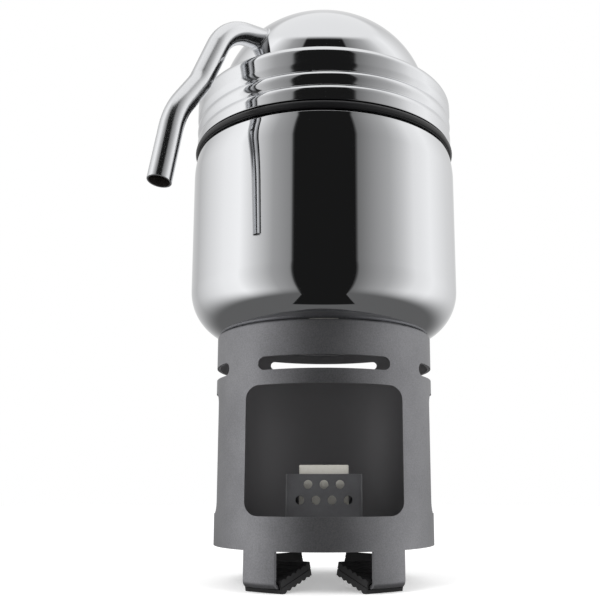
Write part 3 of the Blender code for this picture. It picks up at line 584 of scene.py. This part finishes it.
# Pressed fuel: matt off-white crystals. Their clumps are about a millimetre wide, with finer grain.
fuel, tree, shader = new_material("pressed_white_fuel")
FUEL = "#f3f1ea"
FUEL_SHADE = "#e4e0d5"
place = add(tree, "TexCoord", {}).outputs["Object"]
crystals = add(tree, "TexNoise", {"Vector": place, "Scale": 1100, "Detail": 4, "Roughness": 0.7})
tone = add(
    tree,
    "Mix",
    {"Factor": crystals.outputs["Fac"], "A": linear(FUEL), "B": linear(FUEL_SHADE)},
    data_type="RGBA",
)
rough_face = add(tree, "Bump", {"Height": crystals.outputs["Fac"], "Strength": 0.5, "Distance": 0.12 * MM})
shader.inputs["Roughness"].default_value = 0.85
tree.links.new(tone.outputs["Result"], shader.inputs["Base Color"])
tree.links.new(rough_face.outputs["Normal"], shader.inputs["Normal"])

half = TABLET_SIDE / 2
bottom = shelf_top + FIT_GAP
bm = block((-half, -half, bottom), (half, half, bottom + TABLET_HEIGHT))
bmesh.ops.subdivide_edges(bm, edges=bm.edges[:], cuts=TABLET_CUTS, use_grid_fill=True)
bmesh.ops.bevel(
    bm,
    geom=[edge for edge in bm.edges if edge.calc_face_angle(0) > 1],
    offset=TABLET_EDGE / 2,
    segments=3,
    profile=0.5,
    affect="EDGES",
    material=-1,
)
for point in bm.verts:
    point.co -= point.normal * TABLET_ROUGH * abs(noise.noise(point.co * TABLET_LUMPS))
tablet = smooth(put("pressed_fuel", bm, fuel), 50)
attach(tablet, "tablet")
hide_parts("fuel_tablet")

# Pot
# The pot is deep drawn from stainless sheet, narrows a little under its shoulder and has a shallow
# recess pressed in its base. It is polished to a mirror, and a thread is welded round its neck.
POT_RADIUS = 44 * MM
POT_WALL = 0.8 * MM
POT_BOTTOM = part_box("pot")[0].z
POT_SHOULDER = POT_BOTTOM + 62.1 * MM
POT_CORNER = 16 * MM
POT_SHOULDER_ROUND = 1 * MM
POT_TAPER = 0.8 * MM
POT_TAPER_HEIGHT = 8 * MM
RECESS = 25 * MM
RECESS_STEP = 2.5 * MM
RECESS_DEPTH = 0.9 * MM
NECK_TOP = POT_SHOULDER + 14.9 * MM
NECK_RADIUS = 41.1 * MM
PITCH = 4.4 * MM

# Mirror polished stainless steel: nearly clean reflections, with faint rings left by the polishing
# wheel. Real ones are a few hundredths of a millimetre wide, and these are drawn coarser to show.
mirror_steel, tree, shader = new_material("mirror_polished_stainless")
MIRROR = "#dfe0e2"
place = add(tree, "TexCoord", {}).outputs["Object"]
wheel = add(tree, "Mapping", {"Vector": place, "Scale": (25, 25, 2400)})
rings = add(tree, "TexNoise", {"Vector": wheel.outputs["Vector"], "Scale": 1, "Detail": 3})
haze = add(tree, "TexNoise", {"Vector": place, "Scale": 70, "Detail": 3})
both = add(tree, "Math", {0: rings.outputs["Fac"], 1: haze.outputs["Fac"]}, operation="MULTIPLY")
gloss = add(
    tree,
    "MapRange",
    {"Value": both.outputs["Value"], "From Max": 0.5, "To Min": 0.015, "To Max": 0.06},
)
shader.inputs["Base Color"].default_value = linear(MIRROR)
shader.inputs["Metallic"].default_value = 1
tree.links.new(gloss.outputs["Result"], shader.inputs["Roughness"])

flat = POT_RADIUS - POT_CORNER
corner = (flat, POT_BOTTOM + POT_CORNER)
floor_z = POT_BOTTOM + RECESS_DEPTH
top_r = POT_RADIUS - POT_TAPER
round_r = top_r - POT_SHOULDER_ROUND


def taper(side, count):
    """The gentle draw-in under the shoulder, from the full radius to the narrow end."""
    points = []
    for step in range(1, count):
        share = step / count
        height = POT_SHOULDER - POT_TAPER_HEIGHT + (POT_TAPER_HEIGHT - POT_SHOULDER_ROUND) * share
        points.append((POT_RADIUS - side - POT_TAPER * share**2, height))
    return points


def step_in(height):
    """The soft step of the recess in the base, from its middle outwards."""
    count = 10
    points = []
    for step in range(count + 1):
        share = step / count
        drop = RECESS_DEPTH * (0.5 - 0.5 * math.cos(math.pi * share))
        points.append((RECESS - RECESS_STEP * (1 - share), height + RECESS_DEPTH - drop))
    return points


outline = [(0, floor_z)] + step_in(POT_BOTTOM)
outline += arc(corner, POT_CORNER, -90, 0, 36)
outline += [(POT_RADIUS, corner[1] + (POT_SHOULDER - corner[1]) * share / 6) for share in range(1, 5)]
outline += [(POT_RADIUS, POT_SHOULDER - POT_TAPER_HEIGHT)] + taper(0, 8)
outline += arc((round_r, POT_SHOULDER - POT_SHOULDER_ROUND), POT_SHOULDER_ROUND, 0, 90, 8)
outline += [(NECK_RADIUS, POT_SHOULDER)]
neck_lip = (NECK_RADIUS - POT_WALL / 2, NECK_TOP - POT_WALL / 2)
outline += arc(neck_lip, POT_WALL / 2, 0, 180, 8)
outline += [(NECK_RADIUS - POT_WALL, POT_SHOULDER - POT_WALL), (round_r, POT_SHOULDER - POT_WALL)]
outline += [(POT_RADIUS - POT_WALL, POT_SHOULDER - POT_TAPER_HEIGHT)]
outline += arc(corner, POT_CORNER - POT_WALL, 0, -90, 24)
outline += list(reversed(step_in(POT_BOTTOM + POT_WALL))) + [(0, floor_z + POT_WALL)]
pot = smooth(put("polished_pot", spun(outline, closed=False), mirror_steel))
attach(pot, "pot_body")
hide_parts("pot")

# The neck's thread is a low ridge of the same steel, a little more than one turn long.
THREAD_FOOT = 2 * MM
THREAD_CREST = 0.7 * MM
THREAD_ROOT = 0.3 * MM
THREAD_ROUND = 0.2 * MM
THREAD_SIDES = 160
NECK_CREST = 42.1 * MM
NECK_TURNS = 1.25
NECK_THREAD_BOTTOM = 143.189 * MM
NECK_THREAD_START = -205.5
profile = [
    (NECK_RADIUS - THREAD_ROOT, -THREAD_FOOT / 2),
    (NECK_CREST - THREAD_ROUND, -THREAD_CREST / 2),
    (NECK_CREST, 0),
    (NECK_CREST - THREAD_ROUND, THREAD_CREST / 2),
    (NECK_RADIUS - THREAD_ROOT, THREAD_FOOT / 2),
]
bm = bmesh.new()
face = bm.faces.new([bm.verts.new((r, 0, NECK_THREAD_BOTTOM + z)) for r, z in profile])
bmesh.ops.spin(
    bm,
    geom=[face],
    axis=(0, 0, 1),
    dvec=(0, 0, PITCH / THREAD_SIDES),
    angle=math.tau * NECK_TURNS,
    steps=round(THREAD_SIDES * NECK_TURNS),
)
thread = smooth(put("neck_thread", turned(bm, NECK_THREAD_START), mirror_steel), 50)
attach(thread, "pot_body")

# Seal ring
# A black silicone ring lies on the pot's shoulder. The lid's edge comes down on it, so only its
# round outer side shows, as a dark line between pot and lid.
SEAL_BOTTOM = POT_SHOULDER + FIT_GAP
SEAL_HEIGHT = 2.3 * MM
SEAL_OUTER = POT_RADIUS - 0.1 * MM
SEAL_INNER = NECK_RADIUS + FIT_GAP

# Silicone rubber: smooth and satin, nearly black.
silicone, tree, shader = new_material("black_silicone")
SILICONE = "#141416"
place = add(tree, "TexCoord", {}).outputs["Object"]
bloom = add(tree, "TexNoise", {"Vector": place, "Scale": 120, "Detail": 4})
gloss = add(tree, "MapRange", {"Value": bloom.outputs["Fac"], "To Min": 0.3, "To Max": 0.45})
shader.inputs["Base Color"].default_value = linear(SILICONE)
tree.links.new(gloss.outputs["Result"], shader.inputs["Roughness"])

side = SEAL_HEIGHT / 2
outline = [(SEAL_INNER, SEAL_BOTTOM)]
outline += arc((SEAL_OUTER - side, SEAL_BOTTOM + side), side, -90, 90, 20)
outline += [(SEAL_INNER, SEAL_BOTTOM + SEAL_HEIGHT)]
seal = smooth(put("black_seal", spun(outline), silicone))
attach(seal, "pot_body")
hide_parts("seal_ring")
frame["nodes"]["lid_gasket"].material_slots[0].material = silicone

# Lid
# The lid's skirt and shoulder are one drawn ring of stainless sheet. The thread is rolled into the
# skirt from outside. That leaves a crease that climbs round it twice, between bands that bulge.
LID_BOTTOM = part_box("lid_band")[0].z
LID_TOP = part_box("lid_band")[1].z
LID_RADIUS = 43.4 * MM
LID_WALL = 0.9 * MM
LID_CORNER = 3 * MM
LID_HEM = 0.3 * MM
DOME_RADIUS = 36 * MM
LID_HOLE = DOME_RADIUS + 0.3 * MM
LID_HOLE_ROUND = 0.3 * MM
GROOVE_DEPTH = 0.8 * MM
GROOVE_HALF = 2.25 * MM
GROOVE_REACH = 2.15 * MM
GROOVE_SOFT = 0.12 * MM
GROOVE_START = LID_BOTTOM + 2.9 * MM
GROOVE_TURNS = 2
GROOVE_ANGLE = -265.5
GROOVE_FADE = 0.06
OUTER_SKIN = 0.05 * MM
ROWS = 74

lid_corner = (LID_RADIUS - LID_CORNER, LID_TOP - LID_CORNER)
outline = arc((LID_RADIUS - LID_HEM, LID_BOTTOM + LID_HEM), LID_HEM, -90, 0, 5)
skirt = lid_corner[1] - LID_BOTTOM - LID_HEM
outline += [(LID_RADIUS, LID_BOTTOM + LID_HEM + skirt * row / ROWS) for row in range(1, ROWS)]
outline += arc(lid_corner, LID_CORNER, 0, 90, 16)
outline += [(LID_HOLE + LID_HOLE_ROUND, LID_TOP)]
outline += arc((LID_HOLE + LID_HOLE_ROUND, LID_TOP - LID_HOLE_ROUND), LID_HOLE_ROUND, 90, 180, 4)
outline += [(LID_HOLE, LID_TOP - LID_WALL)]
outline += arc(lid_corner, LID_CORNER - LID_WALL, 90, 0, 10)
outline += [(LID_RADIUS - LID_WALL, LID_BOTTOM)]
bm = spun(outline)


def ease(share):
    """A share of one that starts and ends gently."""
    share = min(max(share, 0), 1)
    return share * share * (3 - 2 * share)


for point in bm.verts:
    radius = math.hypot(point.co.x, point.co.y)
    if radius < LID_RADIUS - OUTER_SKIN or point.co.z > lid_corner[1]:
        continue
    turn = (math.degrees(math.atan2(point.co.y, point.co.x)) - GROOVE_ANGLE) % 360 / 360
    for lap in range(GROOVE_TURNS):
        gone = turn + lap
        off = abs(point.co.z - GROOVE_START - PITCH * gone)
        if off < GROOVE_REACH:
            depth = GROOVE_DEPTH * (1 - math.hypot(off, GROOVE_SOFT) / GROOVE_HALF) ** 2
            depth *= ease(gone / GROOVE_FADE) * ease((GROOVE_TURNS - gone) / GROOVE_FADE)
            share = (radius - depth) / radius
            point.co.x *= share
            point.co.y *= share


def duller(name, low, high):
    """The pot's steel with a less bright polish."""
    made = mirror_steel.copy()
    made.name = name
    polish = made.node_tree.nodes["Map Range"]
    polish.inputs["To Min"].default_value = low
    polish.inputs["To Max"].default_value = high
    return made


# Softly polished steel: the lid is less bright than the pot, so its reflections are a little blurred.
soft_steel = duller("softly_polished_stainless", 0.05, 0.12)
lid = smooth(put("lid_skirt", bm, soft_steel), 40)
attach(lid, "lid")
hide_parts("lid_band")

# Dome
# The dome is pressed from the same stainless sheet and welded under the lid's shoulder. The coffee
# gathers in it and leaves through the spout.
DOME_WALL = 0.8 * MM
DOME_HEIGHT = 32 * MM
DOME_FLANGE = 3.6 * MM
DOME_FLANGE_TOP = LID_TOP - LID_WALL - FIT_GAP
DOME_RIM = DOME_FLANGE_TOP + 0.5 * MM
SPOUT_RADIUS = 3.45 * MM
SPOUT_WALL = 0.5 * MM
SPOUT_PLAY = 0.1 * MM
SPOUT_ANGLE = -39
SPOUT_START = (-15.1 * MM, 12.8 * MM)
# Each bend has its distance beyond the pot, its height above the lid and its radius.
SPOUT_BENDS = (
    (3.5 * MM, 8.6 * MM, 18 * MM),
    (13.8 * MM, -14 * MM, 20 * MM),
    (22.8 * MM, -26.5 * MM, 26 * MM),
)
SPOUT_MOUTH = (27.3 * MM, -48.3 * MM)
spout_heading = math.radians(SPOUT_ANGLE - 90)


def spout_point(place):
    """A point on the spout's middle line, from its distances beyond the pot and above the lid."""
    reach = POT_RADIUS + place[0]
    return Vector((reach * math.cos(spout_heading), reach * math.sin(spout_heading), LID_TOP + place[1]))


def bowl(radius, height, start, end, steps):
    """Side view of the dome's curve, which is a little flatter than a half circle."""
    return [(r, DOME_RIM + z * height / radius) for r, z in arc((0, 0), radius, start, end, steps)]


outline = [(0, DOME_RIM + DOME_HEIGHT)]
outline += bowl(DOME_RADIUS, DOME_HEIGHT, 90, 0, 72)[1:]
outline += [(DOME_RADIUS, DOME_FLANGE_TOP), (DOME_RADIUS + DOME_FLANGE, DOME_FLANGE_TOP)]
outline += [(DOME_RADIUS + DOME_FLANGE, DOME_FLANGE_TOP - DOME_WALL)]
outline += [(DOME_RADIUS - DOME_WALL, DOME_FLANGE_TOP - DOME_WALL)]
outline += bowl(DOME_RADIUS - DOME_WALL, DOME_HEIGHT - DOME_WALL, 0, 90, 48)[:-1]
outline += [(0, DOME_RIM + DOME_HEIGHT - DOME_WALL)]
dome = put("polished_dome", spun(outline, 256, closed=False), mirror_steel)
start, bend = spout_point(SPOUT_START), spout_point(SPOUT_BENDS[0])
ahead = (bend - start).normalized()
hole = drill([(0, 0, 0)], SPOUT_RADIUS + SPOUT_PLAY, DOME_RADIUS, sides=64)
bmesh.ops.rotate(hole, verts=hole.verts, matrix=ahead.to_track_quat("Z", "Y").to_matrix())
bmesh.ops.translate(hole, verts=hole.verts, vec=(start + bend) / 2)
punch(dome, [hole], None)
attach(dome, "lid")
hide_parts("lid_dome")

# Spout
# The spout is a bent stainless tube, welded into the dome's side and cut square at its mouth. The
# coffee runs down it into a cup that stands beside the stand.
SPOUT_LIP = 0.12 * MM
BEAD = 0.35 * MM
BEAD_SINK = 0.4
BEAD_POINTS = 72


def tube(name, points, radius, cyclic, material):
    """A round tube along a line of points."""
    curve = bpy.data.curves.new(name, "CURVE")
    curve.dimensions = "3D"
    curve.bevel_depth = radius
    curve.bevel_resolution = 10
    line = curve.splines.new("POLY")
    line.points.add(len(points) - 1)
    for knot, place in zip(line.points, points):
        knot.co = (*(place + AXIS), 1)
    line.use_cyclic_u = cyclic
    drawn = bpy.data.objects.new("line", curve)
    bpy.context.scene.collection.objects.link(drawn)
    bpy.context.view_layer.update()
    graph = bpy.context.evaluated_depsgraph_get()
    mesh = bpy.data.meshes.new_from_object(drawn.evaluated_get(graph), depsgraph=graph)
    bpy.data.objects.remove(drawn)
    mesh.name = name
    mesh.materials.clear()
    mesh.materials.append(material)
    made = bpy.data.objects.new(name, mesh)
    bpy.context.scene.collection.objects.link(made)
    return made


def spout_line():
    """The spout's middle line: straight runs joined by round bends, with a point every millimetre along the
    bends.
    """
    first, mouth = Vector(SPOUT_START), Vector(SPOUT_MOUTH)
    corners = [Vector(place[:2]) for place in SPOUT_BENDS]
    line = [first]
    ends = zip([first] + corners, corners[1:] + [mouth])
    for corner, (before, after), (_, _, radius) in zip(corners, ends, SPOUT_BENDS):
        back = (before - corner).normalized()
        onward = (after - corner).normalized()
        half = back.angle(onward) / 2
        middle = corner + (back + onward).normalized() * radius / math.sin(half)
        enter = corner + back * radius / math.tan(half) - middle
        leave = corner + onward * radius / math.tan(half) - middle
        count = max(4, round(enter.angle(leave) * radius / MM))
        for step in range(count + 1):
            line.append(middle + enter.slerp(leave, step / count).normalized() * radius)
    return [spout_point(place) for place in line + [mouth]]


# Unpolished bore: the inside of the tube is dull and stained by coffee.
stained_bore, tree, shader = new_material("stained_bore")
STAIN = "#1d1817"
STAIN_LIGHT = "#2f2926"
place = add(tree, "TexCoord", {}).outputs["Object"]
stain = add(tree, "TexNoise", {"Vector": place, "Scale": 400, "Detail": 4})
tone = add(
    tree,
    "Mix",
    {"Factor": stain.outputs["Fac"], "A": linear(STAIN), "B": linear(STAIN_LIGHT)},
    data_type="RGBA",
)
shader.inputs["Roughness"].default_value = 0.6
tree.links.new(tone.outputs["Result"], shader.inputs["Base Color"])

# Satin steel tube: drawn and only brushed over, so it blurs what it mirrors into soft stripes.
satin_steel = duller("satin_drawn_stainless", 0.13, 0.22)
spout = tube("spout_pipe", spout_line(), SPOUT_RADIUS, False, satin_steel)
spout.data.materials.append(stained_bore)
wall = spout.modifiers.new("wall", "SOLIDIFY")
wall.thickness = SPOUT_WALL
wall.offset = -1
wall.material_offset = 1
lip = spout.modifiers.new("lip", "BEVEL")
lip.width = SPOUT_LIP
lip.segments = 2
lip.limit_method = "ANGLE"
lip.angle_limit = math.radians(60)
settle(spout)
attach(spout, "lid")
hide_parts("spout_tube")

# The weld is a thin bead that follows the line where the tube meets the dome.
sideways = Vector((-math.sin(spout_heading), math.cos(spout_heading), 0))
upward = ahead.cross(sideways)
rim_level = Vector((0, 0, DOME_RIM))
squash = Matrix.Diagonal((1, 1, DOME_RADIUS / DOME_HEIGHT))
bead_line = []
for step in range(BEAD_POINTS):
    a = math.tau * step / BEAD_POINTS
    place = start + (SPOUT_RADIUS + BEAD * BEAD_SINK) * (math.cos(a) * sideways + math.sin(a) * upward)
    near = squash @ (place - rim_level)
    onward = squash @ ahead
    run = near.dot(onward) / onward.length_squared
    reach = -run + math.sqrt(run**2 - (near.length_squared - DOME_RADIUS**2) / onward.length_squared)
    bead_line.append(place + ahead * reach)
bead = smooth(tube("spout_weld", bead_line, BEAD, True, satin_steel), 80)
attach(bead, "lid")

# Studio
# A pale floor, a soft white surround with one dark side that faces the object's front, two lamps and
# the camera. The surround is what the polished steel mirrors, below the floor's level too.

# The floor is pale and dull. It is lifted to white where the camera sees it, and keeps the object's shadow.
FLOOR_RADIUS = 1.0
FLOOR = "#f4f4f4"
FLOOR_LIFT = 0.34
floor_material, tree, shader = new_material("pale_floor")
path = add(tree, "LightPath", {})
seen = add(
    tree,
    "Math",
    {0: path.outputs["Is Camera Ray"], 1: path.outputs["Is Transmission Ray"]},
    operation="MAXIMUM",
)
lift = add(tree, "Math", {0: seen.outputs[0], 1: FLOOR_LIFT}, operation="MULTIPLY")
shader.inputs["Base Color"].default_value = linear(FLOOR)
shader.inputs["Roughness"].default_value = 0.9
shader.inputs["Emission Color"].default_value = (1, 1, 1, 1)
tree.links.new(lift.outputs[0], shader.inputs["Emission Strength"])
bm = bmesh.new()
bmesh.ops.create_circle(bm, cap_ends=True, segments=96, radius=FLOOR_RADIUS)
floor = put("floor", bm, floor_material)
floor.visible_glossy = False
floor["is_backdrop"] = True

# The surround is a tall drum that only mirrors see. Its wall goes round in bands, from the dark board
# in front to bright cloth at the sides, as degrees from the front and shade. It turns white towards its
# open top and grey below the floor, where the board goes on as a dark strip.
TENT_RADIUS = 1.0
TENT_TOP = 2.2
TENT_BOTTOM = -1.3
TENT_SIDES = 180
TENT_STRENGTH = 1.16
TENT_BANDS = (
    (-180, 0.7), (-150, 0.55), (-135, 0.5), (-112, 0.74), (-92, 0.92), (-74, 1.0), (-58, 0.66), (-42, 0.36),
    (-27, 0.25), (-25, 0.01), (26, 0.01), (28, 0.17), (42, 0.3), (56, 0.42), (68, 0.6), (80, 0.82),
    (100, 0.95), (128, 0.72), (150, 0.6), (180, 0.7),
)
CEILING_START = 1.7
GROUND_SHADE = 0.12
GROUND_START = -0.2
GROUND_FULL = -0.8
GROUND_SLOPE = 0.5
BOARD_NEAR = -0.2
BOARD_FADE = 0.03
BOARD_HALF = 0.44
BOARD_SOFT = 0.01
BOARD_SHADE = 0.01
surround, tree, shader = new_material("soft_surround")
tree.nodes.remove(shader)
place = add(tree, "TexCoord", {}).outputs["Object"]
parts = add(tree, "SeparateXYZ", {"Vector": place})
ahead_y = add(tree, "Math", {0: parts.outputs["Y"], 1: -1.0}, operation="MULTIPLY")
around = add(tree, "Math", {0: parts.outputs["X"], 1: ahead_y.outputs[0]}, operation="ARCTAN2")
share = add(tree, "MapRange", {"Value": around.outputs[0], "From Min": -math.pi, "From Max": math.pi})
bands = add(tree, "ValToRGB", {"Fac": share.outputs["Result"]})
ramp = bands.color_ramp
while len(ramp.elements) < len(TENT_BANDS):
    ramp.elements.new(0.5)
for stop, (degrees, shade) in zip(ramp.elements, TENT_BANDS):
    stop.position = (degrees + 180) / 360
    stop.color = (shade, shade, shade, 1)
tilted = add(
    tree,
    "Math",
    {0: parts.outputs["Y"], 1: -GROUND_SLOPE, 2: parts.outputs["Z"]},
    operation="MULTIPLY_ADD",
)
low_part = add(
    tree,
    "MapRange",
    {"Value": tilted.outputs[0], "From Min": GROUND_START, "From Max": GROUND_FULL},
    interpolation_type="SMOOTHSTEP",
)
across = add(tree, "Math", {0: parts.outputs["X"]}, operation="ABSOLUTE")
beside = add(
    tree,
    "MapRange",
    {"Value": across.outputs[0], "From Min": BOARD_HALF + BOARD_SOFT, "From Max": BOARD_HALF},
)
before = add(
    tree,
    "MapRange",
    {"Value": parts.outputs["Y"], "From Min": BOARD_NEAR, "From Max": BOARD_NEAR - BOARD_FADE},
)
board = add(tree, "Math", {0: beside.outputs["Result"], 1: before.outputs["Result"]}, operation="MULTIPLY")
ground = add(
    tree,
    "Mix",
    {"Factor": board.outputs[0], "A": [GROUND_SHADE] * 3 + [1], "B": [BOARD_SHADE] * 3 + [1]},
    data_type="RGBA",
)
shade = add(
    tree,
    "Mix",
    {"Factor": low_part.outputs["Result"], "A": bands.outputs["Color"], "B": ground.outputs["Result"]},
    data_type="RGBA",
)
high_part = add(
    tree,
    "MapRange",
    {"Value": parts.outputs["Z"], "From Min": CEILING_START, "From Max": TENT_TOP},
    interpolation_type="SMOOTHSTEP",
)
white = [1 / TENT_STRENGTH] * 3 + [1]
shade = add(
    tree,
    "Mix",
    {"Factor": high_part.outputs["Result"], "A": shade.outputs["Result"], "B": white},
    data_type="RGBA",
)
glow = add(tree, "Emission", {"Color": shade.outputs["Result"], "Strength": TENT_STRENGTH})
tree.links.new(glow.outputs[0], tree.nodes["Material Output"].inputs["Surface"])
bm = bmesh.new()
bmesh.ops.create_cone(
    bm,
    cap_ends=True,
    segments=TENT_SIDES,
    radius1=TENT_RADIUS,
    radius2=TENT_RADIUS,
    depth=TENT_TOP - TENT_BOTTOM,
)
bmesh.ops.translate(bm, verts=bm.verts, vec=(0, 0, (TENT_TOP + TENT_BOTTOM) / 2))
cover = max(bm.faces, key=lambda face: face.calc_center_median().z)
bmesh.ops.delete(bm, geom=[cover], context="FACES_ONLY")
tent = put("surround", bm, surround)
tent.visible_camera = False
tent.visible_diffuse = False
tent.visible_shadow = False
tent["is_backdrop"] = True

# The world lights the object evenly, and is plain white for the camera, mirrors and glass.
WORLD_LIGHT = 0.7
world = bpy.data.worlds.new("white_studio")
bpy.context.scene.world = world
world.use_nodes = True
tree = world.node_tree
path = add(tree, "LightPath", {})
seen = path.outputs["Is Camera Ray"]
for kind in ("Is Glossy Ray", "Is Transmission Ray"):
    seen = add(tree, "Math", {0: seen, 1: path.outputs[kind]}, operation="MAXIMUM").outputs[0]
level = add(tree, "MapRange", {"Value": seen, "To Min": WORLD_LIGHT, "To Max": 1})
tree.nodes["Background"].inputs["Color"].default_value = (1, 1, 1, 1)
tree.links.new(level.outputs["Result"], tree.nodes["Background"].inputs["Strength"])

# Two soft square lamps stand at the front corners, over the object, and aim at its middle.
LAMP_AIM = 0.09


def soft_lamp(name, place, size, power):
    light = bpy.data.lights.new(name, "AREA")
    light.size = size
    light.energy = power
    lamp = bpy.data.objects.new(name, light)
    bpy.context.scene.collection.objects.link(lamp)
    lamp.location = AXIS + Vector(place)
    aim = AXIS + Vector((0, 0, LAMP_AIM)) - lamp.location
    lamp.rotation_mode = "QUATERNION"
    lamp.rotation_quaternion = aim.to_track_quat("-Z", "Y")
    lamp.visible_camera = False
    lamp.visible_glossy = False
    return lamp


soft_lamp("key_lamp", (-0.55, -0.55, 0.7), 0.5, 4)
soft_lamp("fill_lamp", (0.6, -0.35, 0.5), 0.6, 2.5)

# The camera is close and low, and looks up a little. Its shift brings the object into the frame.
CAMERA_DISTANCE = 0.258
CAMERA_SIDE = -0.0006
CAMERA_HEIGHT = 0.030
CAMERA_TILT = 9.7
CAMERA_YAW = 0.16
FOCAL_PIXELS = 786
PHOTO_PIXELS = 600
SENSOR_WIDTH = 36
lens = bpy.data.cameras.new("camera")
lens.sensor_width = SENSOR_WIDTH
lens.lens = FOCAL_PIXELS / PHOTO_PIXELS * SENSOR_WIDTH
lens.shift_x = -0.0405
lens.shift_y = 0.085
lens.clip_start = 0.01
camera = bpy.data.objects.new("camera", lens)
bpy.context.scene.collection.objects.link(camera)
camera.location = AXIS + Vector((CAMERA_SIDE, -CAMERA_DISTANCE, CAMERA_HEIGHT))
camera.rotation_euler = (math.radians(90 + CAMERA_TILT), 0, math.radians(-CAMERA_YAW))
bpy.context.scene.camera = camera
bpy.context.scene.view_settings.view_transform = "Standard"

low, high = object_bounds()
